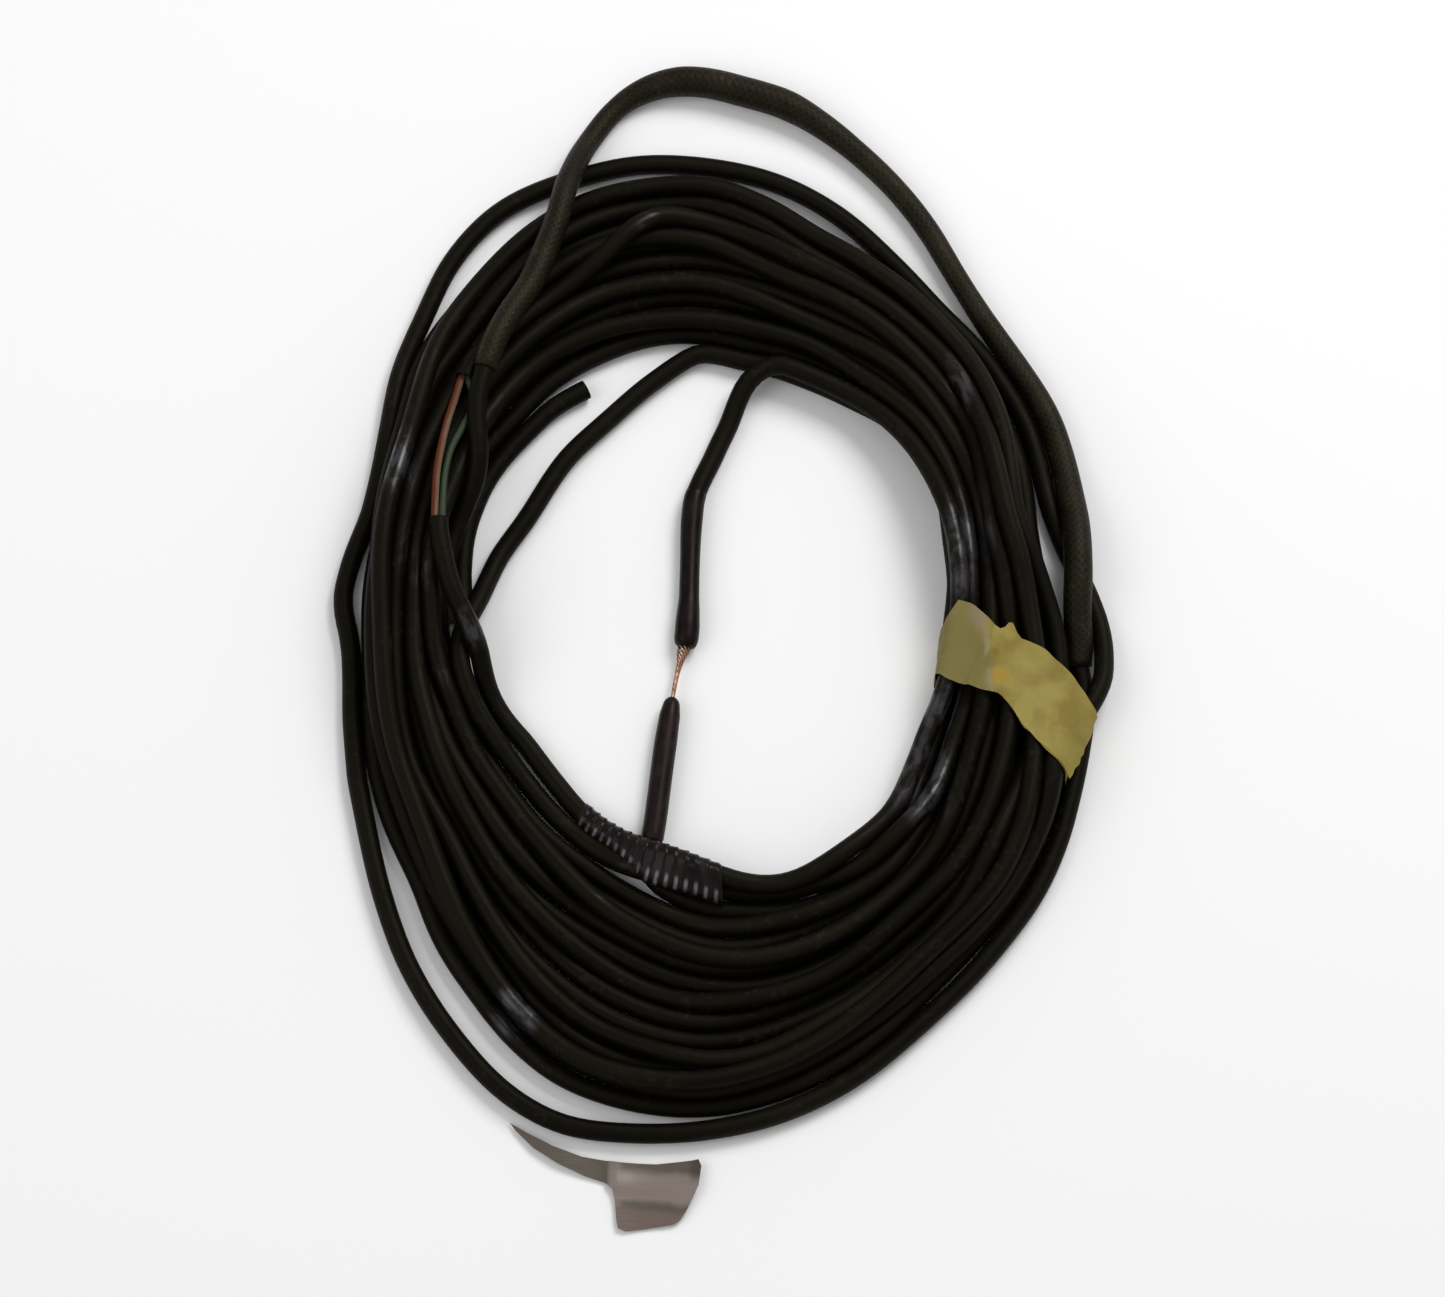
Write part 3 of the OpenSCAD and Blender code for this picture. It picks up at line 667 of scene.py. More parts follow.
def jacket_plastic():
    """Soft black plastic, dusty here and there, glossier round the places in the list and painted pale there as a
    highlight.
    """
    paint = Paint("jacket_plastic", specular_ior_level=0.09, specular_tint=(1.0, 0.90, 0.68), coat_roughness=0.26)
    uv = paint.uv()
    lengths = paint.noise(uv, 9.0, 2.0, stretch=(1, 0.2, 1))
    clouds = paint.noise(paint.place(), 60.0, 3.0)
    dust = paint.noise(paint.place(), 420.0, 3.0, 0.65).over(0.52, 0.72)
    shade = paint.blend(lengths.over(0.35, 0.65), (0.0018, 0.0014, 0.0007), (0.0044, 0.0036, 0.0020))
    shade = paint.blend(dust * clouds.over(0.42, 0.62) * 0.5, shade, (0.019, 0.0165, 0.0125))
    gloss_and_highlight = 0
    for point, size, lengthen in GLOSS_AND_HIGHLIGHT_SPOTS:
        gloss_and_highlight = paint.near(point, size, lengthen=lengthen) + gloss_and_highlight
    gloss_and_highlight_streaks = paint.noise(uv, 260.0, 3.0, 0.6, stretch=(0.5, 1, 1)).over(0.42, 0.60)
    # Round the spots the colour is painted pale lavender, as a highlight.
    paint.set("Base Color", paint.blend(gloss_and_highlight * gloss_and_highlight_streaks * 0.36, shade, (0.055, 0.050, 0.064)))
    paint.set("Coat Weight", gloss_and_highlight * (0.25 + gloss_and_highlight_streaks * 0.75) * 0.8 + lengths.over(0.56, 0.72) * gloss_and_highlight_streaks * 0.10)
    paint.set("Roughness", 0.46 + clouds * 0.12 + dust * 0.12)
    grain = paint.noise(paint.place(), 2600.0, 2.0, 0.6)
    drawn = paint.noise(uv, 900.0, 1.0, stretch=(0.04, 1, 1))
    paint.bump(grain * 0.5 + drawn * 0.5, 0.00006)
    return paint.material


jacket = jacket_plastic()

# %% The plain cables
LEAD_IN_SLEEVE = 0.020
coil_path = stretch_of(ring_rest, *cuts["coil"])
coil = dress(tube("wound_cable", coil_path, CABLE_R), "cable_coil", slot="jacket", material=jacket)
above_path = stretch_of(ring_rest, *cuts["above"])
above = dress(tube("cable_above_window", above_path, CABLE_R), "jacket_above_window",
              slot="jacket", material=jacket)
inner_path = stretch_of(ring_rest, *cuts["inner"])
inner = dress(tube("inner_turn_cable", inner_path, CABLE_R), "inner_turn", slot="jacket", material=jacket)
lead_path = stretch_of(ring_rest, cuts["lead"][0] - LEAD_IN_SLEEVE / STEP, cuts["lead"][1])
lead = dress(tube("lower_lead_cable", lead_path, CABLE_R), "lower_lead", slot="jacket", material=jacket)
loop_path = stretch_of(loop_rest, 0, len(loop_rest) - 1)
loop_cable = dress(tube("loose_loop", loop_path, CABLE_R), "loose_loop_cable", slot="jacket", material=jacket)
tucked_path = stretch_of(tucked_rest, 0, len(tucked_rest) - 1)
tucked_cable = dress(tube("tucked_cable_end", tucked_path, CABLE_R), "tucked_end",
                     slot="jacket", material=jacket)

# %% [markdown]
# ## The opened window
# Two stretches of jacket end in cut, hollow mouths, and the two insulated cores bridge the gap between them. Each
# core is painted paler along one side as a highlight. Each core holds bare copper, which stays inside.

# %% Cut jacket mouths
MOUTH_DEPTH = 0.008
FINE_STEP = 0.0008
upper_bare_path = stretch_of(ring_rest, *cuts["upper_bare"], spacing=FINE_STEP)
lower_bare_path = stretch_of(ring_rest, *cuts["lower_bare"], spacing=FINE_STEP)[::-1]


def ragged(path, radius, seed, sides=24):
    """The radius of a cut end: a slightly flared lip that isn't quite round."""
    dice = np.random.default_rng(seed)
    lip = np.clip((lengths_along(path) - lengths_along(path)[-1] + 0.0022) / 0.0022, 0, 1)
    round_off = dice.normal(size=4)
    turn = np.arange(sides) / sides * 2 * np.pi
    lobes = sum(round_off[k] * np.cos((k + 2) * turn + 2 * k) for k in range(4)) * 0.00006
    return radius + np.outer(lip ** 2, 0.00012 + lobes)


for name, path, node in (("upper_cut_mouth", upper_bare_path, "stripped_end_upper"),
                         ("lower_cut_mouth", lower_bare_path, "stripped_end_lower")):
    outer = ragged(path, CABLE_R, len(name))
    mouth = hollow_end(name, path, outer, outer - JACKET_WALL, MOUTH_DEPTH)
    dress(mouth, node, slot="jacket", material=jacket)

# %% Insulation and copper
CORE_R = 0.00112
COPPER_R = 0.00045


def core_plastic(name, fresh, highlight_colour, share):
    """Coloured insulation, painted paler along one side as a highlight."""
    paint = Paint(name, specular_ior_level=0.15)
    uv = paint.uv()
    _, round_it = paint.parts(uv)
    side = (round_it * (1 / (2 * math.pi * CORE_R)) + share).wave()
    patch = paint.noise(uv, 160.0, 3.0, stretch=(0.4, 1, 1))
    grime = paint.noise(paint.place(), 700.0, 3.0, 0.7).over(0.55, 0.75)
    # One side of each core is painted in the paler colour, as a highlight.
    colour = paint.blend((side * 0.8 + patch * 0.5 - 0.1).over(0.45, 0.85), fresh, highlight_colour)
    paint.set("Base Color", paint.blend(grime * 0.45, colour, (0.06, 0.045, 0.03)))
    paint.set("Roughness", 0.36 + patch * 0.2 + grime * 0.15)
    paint.bump(patch, 0.00004)
    return paint.material


orange_plastic = core_plastic("orange_insulation_plastic", (0.095, 0.021, 0.007), (0.175, 0.118, 0.072), 0.0)
green_plastic = core_plastic("green_insulation_plastic", (0.006, 0.026, 0.008), (0.032, 0.044, 0.024), 0.2)


def copper_metal():
    """Fine drawn copper, handled and partly browned."""
    paint = Paint("bare_copper_metal", metallic=1.0)
    uv = paint.uv()
    brown = paint.noise(paint.place(), 500.0, 3.0, 0.6).over(0.4, 0.7)
    paint.set("Base Color", paint.blend(brown, (0.50, 0.30, 0.205), (0.24, 0.135, 0.085)))
    paint.set("Roughness", 0.30 + brown * 0.25)
    paint.bump(paint.noise(uv, 3000.0, 1.0, stretch=(0.05, 1, 1)), 0.00002)
    return paint.material


copper = copper_metal()


# %% The two cores
BOW_SHARES = (0.15, 0.32, 0.5, 0.68, 0.85)
INTO_MOUTH = 8


def core_route(sideways, bows, rise):
    """A core's line from deep in one mouth to deep in the other, bowed to one side between them."""
    start, end = upper_bare_path[-1], lower_bare_path[-1]
    start_in, end_in = upper_bare_path[-INTO_MOUTH], lower_bare_path[-INTO_MOUTH]
    run = unit(end - start)
    across = unit(np.cross(run, [0, 0, 1]))
    points = [start_in + across * sideways, start + across * sideways]
    for share, bow in zip(BOW_SHARES, bows):
        swell = math.sin(math.pi * share)
        points.append(start + (end - start) * share + across * (sideways + bow / 1000)
                      + np.array([0, 0, rise * swell]))
    points += [end + across * sideways, end_in + across * sideways]
    return curve_through(points, FINE_STEP)[0]


CORES_APART = 0.00114
orange_path = core_route(CORES_APART, (0.7, 1.6, 2.0, 1.9, 1.0), 0.0010)
green_path = core_route(-CORES_APART, (-3.0, -1.0, 1.4, 1.8, 1.0), -0.0006)
for name, path, plastic in (("orange", orange_path, orange_plastic), ("green", green_path, green_plastic)):
    dress(tube(name + "_insulated_core", path, CORE_R, 16), name + "_core",
          slot=name + "_insulation", material=plastic)
    dress(tube(name + "_copper_strand", path[3:-3], COPPER_R, 8), name + "_copper",
          slot="bare_copper", material=copper)

# %% [markdown]
# ## The splice
# The cut cable has been joined inside two thin shrunk sleeves, with a link of bare twisted copper between their
# rounded ends. The upper sleeve steps up from the cable, then swells over the joint. The copper fans out where it
# leaves the upper sleeve and draws together towards the lower one.

# %% Shrunk sleeves
def shrunk_plastic():
    """Thin dark sleeve, hazy and a little wrinkled, paler on the lower of the two."""
    paint = Paint("shrunk_sleeve_plastic", specular_ior_level=0.14, specular_tint=(1.0, 0.82, 0.78))
    _, y = paint.parts(paint.place())
    lower = 1 - y.over(-0.030, -0.010)
    wrinkle = paint.noise(paint.uv(), 240.0, 3.0, stretch=(0.35, 1, 1))
    haze = paint.noise(paint.place(), 160.0, 3.0).over(0.4, 0.7)
    worn = paint.blend(haze, (0.0068, 0.0046, 0.0040), (0.0170, 0.0110, 0.0100))
    dark = paint.blend(haze, (0.0024, 0.0016, 0.0013), (0.0060, 0.0040, 0.0034))
    paint.set("Base Color", paint.blend(lower, dark, worn))
    paint.set("Roughness", 0.36 + haze * 0.14)
    paint.bump(wrinkle, 0.00009)
    return paint.material


shrunk = shrunk_plastic()


def profile(path, shares, values):
    """A radius along a path, given at some shares of its length."""
    far = lengths_along(path)
    return np.interp(far / far[-1], shares, values)


upper_path = stretch_of(ring_rest, *cuts["upper_sleeve"], spacing=FINE_STEP)
upper_r = profile(upper_path, [0, 0.006, 0.02, 0.18, 0.3, 0.42, 0.6, 0.68, 0.76, 0.86, 0.94, 0.975, 0.993, 1],
                  [0.00305, 0.0032, 0.00325, 0.0033, 0.00315, 0.0030, 0.0030, 0.00305, 0.0034, 0.0037, 0.0037,
                   0.0034, 0.0028, 0.0020])
dress(tube("upper_shrunk_sleeve", upper_path, upper_r, 24), "upper_splice_sleeve",
      slot="shrink_sleeve", material=shrunk)
lower_path = stretch_of(ring_rest, *cuts["lower_sleeve"], spacing=FINE_STEP)
lower_r = profile(lower_path, [0, 0.012, 0.04, 0.12, 0.3, 0.98, 1],
                  [0.0012, 0.0019, 0.0025, 0.0031, 0.0034, 0.0034, 0.00315])
dress(tube("lower_shrunk_sleeve", lower_path, lower_r, 24), "lower_splice_sleeve",
      slot="shrink_sleeve", material=shrunk)

# %% The twisted copper link
STRANDS = 9
STRAND_R = 0.00024
TWISTS = 1.6
FAN_SHARES = [0, 0.12, 0.3, 0.5, 1]
FAN_RADII = [0.0018, 0.0015, 0.0008, 0.0005, 0.0004]
link_path = stretch_of(ring_rest, *cuts["link"], spacing=0.0005)
link_far = lengths_along(link_path)
link_share = link_far / link_far[-1]
link_side = unit(np.cross(link_path[-1] - link_path[0], [0, 0, 1]))
link_up = unit(np.cross(link_side, link_path[-1] - link_path[0]))


def pick(*pieces):
    """Selects these pieces alone, and makes the first of them the active one."""
    bpy.ops.object.select_all(action="DESELECT")
    for piece in pieces:
        piece.select_set(True)
    bpy.context.view_layer.objects.active = pieces[0]


strand_pieces = []
for k in range(STRANDS):
    # The first strand is the straight middle, and the others wind round it.
    spread = np.interp(link_share, FAN_SHARES, FAN_RADII) * (1 if k else 0)
    swirl = 2 * np.pi * (k / (STRANDS - 1) + TWISTS * link_share)
    path = link_path + (spread * np.cos(swirl))[:, None] * link_side + (spread * np.sin(swirl))[:, None] * link_up
    strand_pieces.append(tube(f"copper_strand_{k}", path, STRAND_R, 8))
pick(*strand_pieces)
bpy.ops.object.join()
copper_bundle = bpy.context.object
copper_bundle.name = "twisted_copper_link"
dress(copper_bundle, "copper_link", slot="bare_copper", material=copper)

# %% [markdown]
# ## The braided sleeve
# The loose loop wears a woven sleeve, thicker than the cable. Its yarns cross at a slant, one over the other. A
# bump pattern on the UV map gives the crossing yarns, since the real ones stand only a tenth of a millimetre proud.

# %% Braid
YARN_ALONG = 0.0024
YARN_ROUND = 0.00225
SLEEVE_BORE_R = 0.0031
HIGHLIGHT_STREAK_SPOTS = [(-0.0510, 0.1290, 0.032), (-0.0575, 0.1080, 0.034), (-0.0640, 0.0905, 0.034), (-0.0690, 0.0765, 0.034)]


def braided_yarn():
    """Two sets of slanting yarns, the higher one on top, with fibres, dusty specks and a painted highlight streak."""
    paint = Paint("braided_yarn", specular_ior_level=0.14, specular_tint=(1.0, 0.90, 0.68))
    uv = paint.uv()
    far, round_it = paint.parts(uv)
    one = (far * (1 / YARN_ALONG) + round_it * (1 / YARN_ROUND)).wave()
    other = (far * (1 / YARN_ALONG) - round_it * (1 / YARN_ROUND)).wave()
    fibres = paint.noise(uv, 5200.0, 2.0)
    top = one.math("MAXIMUM", one, other)
    clouds = paint.noise(paint.place(), 90.0, 3.0).over(0.35, 0.65)
    # The yarns are painted darker where they sink between the crossings, as shade.
    shade = paint.blend(top.over(0.45, 1.0), (0.0036, 0.0029, 0.0015), (0.0092, 0.0076, 0.0044))
    shade = paint.blend(clouds * 0.6, shade, (0.0150, 0.0120, 0.0066))
    specks = paint.noise(paint.place(), 700.0, 2.0).over(0.60, 0.72) * clouds
    shade = paint.blend(specks * 0.5, shade, (0.060, 0.052, 0.036))
    # A pale lavender highlight is painted along a line of spots, broken up by the fibres.
    for point in HIGHLIGHT_STREAK_SPOTS:
        highlight_streak = paint.near(point, 0.0045, lengthen=3.0) * fibres.over(0.3, 0.7)
        shade = paint.blend(highlight_streak * 0.7, shade, (0.060, 0.055, 0.058))
    paint.set("Base Color", shade)
    paint.set("Roughness", 0.52 - top * 0.12 + fibres * 0.1)
    paint.bump(top * 0.8 + fibres * 0.25, 0.00012)
    return paint.material


braid = braided_yarn()
first, last = loop_places[LOOP_SLEEVE_FIRST], loop_places[LOOP_SLEEVE_LAST]
sleeve_path = stretch_of(loop_rest, first, last, spacing=0.0018)
dice = np.random.default_rng(11)
lumps = np.convolve(dice.normal(size=len(sleeve_path) + 24), np.hanning(25) / 12, "valid") * 0.00016
sleeve_r = np.interp(np.linspace(first, last, len(sleeve_path)),
                     np.interp(SLEEVE_PLACES, np.arange(len(loop_places)), loop_places),
                     SLEEVE_RADII) / 1000 + lumps[:len(sleeve_path)]
sleeve_r[:3] -= [0.0003, 0.00015, 0.00005]
sleeve_r[-3:] -= [0.00005, 0.00015, 0.0003]
braided = sleeve("braided_loop_sleeve", sleeve_path, sleeve_r, np.full(len(sleeve_path), SLEEVE_BORE_R))
dress(braided, "loose_loop_sleeve", slot="braided_sleeve", material=braid)

# %% [markdown]
# ## The paper tape
# A strip of yellowed paper tape goes once round the bundle at the right and nearly a fifth of a turn further, and its
# end is stuck down on top. It pulls flat from strand to strand, so its shape is the tight outline of the strands that
# it holds. Cloth physics could draw it tight, but it is slow and hard to steer. Slices through the settled lines give
# that outline at every angle instead, and a grid is laid over the slices and creased.

# %% The outline of the strands at one angle
TAPE_ANGLE = -15.5
TAPE_DISTANCES = [70, 72.5, 75.5, 80, 84.6, 87.8, 89.3, 91.2, 92.6, 94.3, 97, 102.4, 109, 115.6, 121, 128]
TAPE_UPPER_EDGE = [-7, -6, -2.2, -3.2, -5.6, -7.6, -8.2, -6.2, -6.7, -9.2, -9.6, -10.4, -12.3, -14.8, -16.8, -19]
TAPE_LOWER_EDGE = [-19, -19, -19.6, -20.3, -20, -20, -20, -20, -20, -20.4, -21.2, -23.6, -25.2, -26.5, -27.6, -29]
TAPE_END = 0.121
BOUND_R = CABLE_R + 0.0004
OUTLINE_POINTS = 96
SLICE_STEP = 1.5
OFF_TABLE = 0.0003
HALF_LOOP = len(loop_path) // 2
bound_lines = [stretch_of(ring_rest, 0, len(ring_rest) - 1), loop_path[HALF_LOOP:]]
tape_lines = bound_lines + [loop_path[:HALF_LOOP], tucked_path]


def strands_at(angle, lines=None):
    """Where the strands cross an upright plane through the coil's middle: distance from it, and height."""
    out = np.array([math.cos(math.radians(angle)), math.sin(math.radians(angle)), 0])
    across = np.array([-out[1], out[0], 0])
    found = []
    for path in lines or tape_lines:
        local = path - COIL_MIDDLE
        off = local @ across
        k = np.nonzero((off[:-1] <= 0) != (off[1:] <= 0))[0]
        share = off[k] / (off[k] - off[k + 1])
        spot = local[k] + (local[k + 1] - local[k]) * share[:, None]
        found += [(d, z) for d, z in zip(spot @ out, spot[:, 2]) if 0.06 < d < 0.135]
    return np.array(found)


def tight_outline(spots, radius, count=OUTLINE_POINTS):
    """A closed outline stretched round circles at the spots, from its lowest inner point, evenly spaced."""
    turn = np.arange(24) / 24 * 2 * np.pi
    rim = np.stack([np.cos(turn), np.sin(turn)], axis=1) * radius
    cloud = (spots[:, None, :] + rim[None]).reshape(-1, 2)
    cloud[:, 1] = np.maximum(cloud[:, 1], OFF_TABLE)
    cloud = cloud[np.lexsort((cloud[:, 1], cloud[:, 0]))]

    def half(points):
        chain = []
        for p in points:
            while len(chain) > 1:
                (ax, ay), (bx, by) = chain[-2], chain[-1]
                if (bx - ax) * (p[1] - ay) - (by - ay) * (p[0] - ax) > 0:
                    break
                chain.pop()
            chain.append(p)
        return chain

    lower, upper = half(cloud), half(cloud[::-1])
    outline = np.array((lower[:-1] + upper[:-1])[::-1])
    start = np.argmin(outline[:, 0] + 0.5 * outline[:, 1])
    outline = np.roll(outline, -start, axis=0)
    outline = np.vstack([outline, outline[:1]])
    far = lengths_along(outline)
    steps = np.linspace(0, far[-1], count + 1)
    return np.stack([np.interp(steps, far, outline[:, k]) for k in range(2)], axis=1)


def soften(rows):
    """Draws every row but the first and the last towards its neighbours."""
    rows[1:-1] = (rows[:-2] + 2 * rows[1:-1] + rows[2:]) / 4


slice_angles = np.arange(-40.0, 8.0, SLICE_STEP)
outlines, flap_outlines = (
    np.array([tight_outline(strands_at(angle, lines), BOUND_R) for angle in slice_angles])
    for lines in (bound_lines, tape_lines))
for slices in (outlines, flap_outlines):
    for _ in range(2):
        soften(slices)
tape_centre = outlines.mean(axis=(0, 1))
print("the tape goes round", len(strands_at(TAPE_ANGLE)), "strands")

# %% Lay the strip over the slices
TAPE_ROWS = 25
TAPE_COLUMNS = 130
TAPE_START = 0.34
FLAP_FROM, FLAP_BLEND = 1.22, 0.12
FOLD_AT = 1.235
CREASES = 5


def tape_spot(share, across, lift):
    """A point of the tape: its share of the way round, its place across from 0 to 1, its lift off the strands."""
    column = (share % 1) * OUTLINE_POINTS
    c = min(OUTLINE_POINTS - 1, int(column))
    angle = TAPE_ANGLE
    for _ in range(5):
        row = np.clip((angle - slice_angles[0]) / SLICE_STEP, 0, len(slice_angles) - 1.001)
        r = int(row)
        flap = min(1.0, max(0.0, (share - FLAP_FROM) / FLAP_BLEND))
        near_row, next_row = (outlines[k] * (1 - flap) + flap_outlines[k] * flap for k in (r, r + 1))
        near_row = near_row * (1 - row + r) + next_row * (row - r)
        place = near_row[c] * (1 - column + c) + near_row[c + 1] * (column - c)
        low = np.interp(1000 * place[0], TAPE_DISTANCES, TAPE_LOWER_EDGE)
        high = np.interp(1000 * place[0], TAPE_DISTANCES, TAPE_UPPER_EDGE)
        angle = low + (high - low) * across
    place = place + unit(place - tape_centre) * lift
    return clock([[angle, 1000 * place[0], 1000 * max(OFF_TABLE, place[1])]])[0]


def paper_noise(seed, count, reach):
    """A smooth seeded row of numbers of about one."""
    dice = np.random.default_rng(seed)
    return np.convolve(dice.normal(size=count + reach), np.hanning(reach + 1) / reach ** 0.5, "valid") * 1.2


FLAP_LEAST, FLAP_STEP = 1.30, 0.128
ragged_low = paper_noise(3, TAPE_COLUMNS + 1, 6) * 0.008
ragged_high = paper_noise(4, TAPE_COLUMNS + 1, 6) * 0.012
torn_start = paper_noise(5, TAPE_ROWS + 1, 4) * 0.006
creases = [paper_noise(20 + k, TAPE_COLUMNS + 1, 10) * 0.00022 for k in range(CREASES)]
flap_ends = []
for row in range(TAPE_ROWS + 1):
    # The flap ends where it reaches its distance from the coil's middle, found by halving the step.
    end, step = FLAP_LEAST, FLAP_STEP
    while step > 0.0004:
        if np.linalg.norm((tape_spot(end + step, row / TAPE_ROWS, 0) - COIL_MIDDLE)[:2]) < TAPE_END:
            end += step
        step /= 2
    flap_ends.append(end)
flap_ends = np.convolve(np.pad(flap_ends, 2, mode="edge"), [0.1, 0.2, 0.4, 0.2, 0.1], "valid")
print("the tape ends", np.round(flap_ends[::5], 2), "turns along")

# %% Bend the strip
bpy.ops.object.select_all(action="DESELECT")
bpy.ops.mesh.primitive_grid_add(x_subdivisions=TAPE_COLUMNS, y_subdivisions=TAPE_ROWS, size=1)
tape = bpy.context.object
tape.name = "paper_tape_strip"
for vertex in tape.data.vertices:
    column = round((vertex.co.x + 0.5) * TAPE_COLUMNS)
    row = round((vertex.co.y + 0.5) * TAPE_ROWS)
    across = row / TAPE_ROWS - 0.5
    share = TAPE_START + (flap_ends[row] - TAPE_START) * column / TAPE_COLUMNS
    if column > TAPE_COLUMNS - 3:
        share += 0.4 * torn_start[row] * (column - TAPE_COLUMNS + 3) / 3
    ragged = (across + 0.5) * ragged_high[column] + (0.5 - across) * ragged_low[column]
    lift = 0.00008 + 0.0004 * column / TAPE_COLUMNS
    crease = sum(c[column] * math.exp(-((across - 0.5 + (k + 0.5) / CREASES) / 0.14) ** 2)
                 for k, c in enumerate(creases))
    if share > 1.1:
        # On the last turn the paper is folded up, with a lower ridge beyond the fold.
        fold_at = share - FOLD_AT - 0.02 * math.sin(2.6 * across)
        lift += (0.0013 * math.exp(-(fold_at / 0.011) ** 2)
                 + 0.0004 * math.exp(-((fold_at - 0.045) / 0.012) ** 2))
    vertex.co = Vector(tape_spot(share, across + 0.5 + ragged, lift + abs(crease)))


def thicken(sheet, thickness, offset, smooth_to):
    """Gives the active sheet its thickness, and shades it smooth up to an angle in degrees."""
    solidify = sheet.modifiers.new("thickness", "SOLIDIFY")
    solidify.thickness = thickness
    solidify.offset = offset
    bpy.ops.object.modifier_apply(modifier="thickness")
    bpy.ops.object.shade_smooth_by_angle(angle=math.radians(smooth_to))


bpy.ops.object.mode_set(mode="EDIT")
bpy.ops.mesh.select_all(action="SELECT")
bpy.ops.mesh.normals_make_consistent(inside=False)
bpy.ops.object.mode_set(mode="OBJECT")
thicken(tape, 0.00018, offset=1, smooth_to=40)
print("the paper tape has", len(tape.data.polygons), "faces")

# %% Crepe paper
# Stains on the paper, and in the second entry a pale highlight painted along the fold.
STAINS_AND_FOLD_HIGHLIGHT = [((0.0838, -0.0185, 0.021), 0.0045, 0.8, 0.8, (0.380, 0.235, 0.030)),
          ((0.0796, -0.0100, 0.022), 0.0020, 4.0, 0.55, (0.380, 0.330, 0.200)),
          ((0.0780, 0.0010, 0.022), 0.0045, 1.4, 0.6, (0.250, 0.190, 0.125)),
          ((0.0955, -0.0315, 0.019), 0.0030, 1.6, 0.35, (0.210, 0.145, 0.045)),
          ((0.1040, -0.0440, 0.014), 0.0120, 1.0, 0.6, (0.235, 0.195, 0.035)),
          ((0.0940, -0.0130, 0.020), 0.0080, 1.0, 0.5, (0.360, 0.290, 0.085))]


def tape_paper():
    """Crepe paper, yellowed olive, darker where glue and grime have soaked in, with painted shade on the panel
    inwards of the fold and a painted highlight along the fold.
    """
    paint = Paint("crepe_paper", specular_ior_level=0.2)
    place = paint.place()
    clouds = paint.noise(place, 70.0, 3.0, 0.6)
    crepe = paint.noise(place, 1100.0, 2.0, 0.6, stretch=(1, 0.35, 1))
    x, y = paint.parts(place)
    colour = paint.blend(clouds.over(0.35, 0.65), (0.225, 0.168, 0.036), (0.330, 0.262, 0.070))
    # The panel inwards of the fold is painted darker as shade, and the fold itself is painted pale as a highlight.
    shaded_panel = 1 - (x + 0.12 * y + (clouds - 0.5) * 0.002).over(0.0785, 0.0805)
    colour = paint.blend(shaded_panel, colour, paint.blend(clouds, (0.172, 0.138, 0.040), (0.222, 0.184, 0.062)))
    fold = shaded_panel * (x + 0.12 * y).over(0.0755, 0.0795)
    colour = paint.blend(fold * (clouds.over(0.3, 0.55)) * 0.8, colour, (0.300, 0.246, 0.140))
    # The second entry is blended in as a painted highlight, the others as stains.
    for point, size, lengthen, strength, mark_colour in STAINS_AND_FOLD_HIGHLIGHT:
        colour = paint.blend(paint.near(point, size, lengthen=lengthen) * strength, colour, mark_colour)
    paint.set("Base Color", colour)
    paint.set("Roughness", 0.62 + crepe * 0.2)
    paint.bump(crepe, 0.00012)
    return paint.material


dress(tape, "masking_tape", slot="paper_tape", material=tape_paper())

# %% [markdown]
# ## The ribbed tape wrap
# A strip of glossy tape binds the inner turn to the strand beside it, where the spliced lead dives under them. It is
# wound with overlap after overlap, so the surface climbs slowly and drops at each edge. A bump pattern could hint at
# that, but the ribs are real steps in the mesh here, because their highlights stand out on the dark coil.

# %% Glossy tape
WRAP_RIBS = 15
RIBBED_LENGTH = 0.0402
WRAP_GIRTH = 0.035
RIB_SLANT = 0.9


def glossy_tape():
    """Dark, shiny film, smeared with glue, whose ribs carry a pale painted highlight along one side."""
    paint = Paint("glossy_tape_film", specular_ior_level=0.12)
    uv = paint.uv()
    far, around = paint.parts(uv)
    smear = paint.noise(uv, 300.0, 3.0, stretch=(1, 0.4, 1))
    film_colour = paint.blend(smear.over(0.4, 0.7), (0.0055, 0.0044, 0.0038), (0.0150, 0.0124, 0.0112))
    ridge = (far * (WRAP_RIBS / RIBBED_LENGTH) + around * (RIB_SLANT / WRAP_GIRTH) - 0.55).wave()
    side = around.over(0.0128, 0.0148) * (1 - around.over(0.0168, 0.0190))
    # The ribs' crests along one side of the outline are painted pale lavender, as a highlight.
    worn = side * ridge.over(0.45, 0.85) * (0.35 + smear.over(0.42, 0.6) * 0.65)
    paint.set("Base Color", paint.blend(worn, film_colour, (0.175, 0.155, 0.170)))
    paint.set("Roughness", 0.20 + smear * 0.16)
    paint.bump(smear, 0.00012)
    return paint.material


film = glossy_tape()

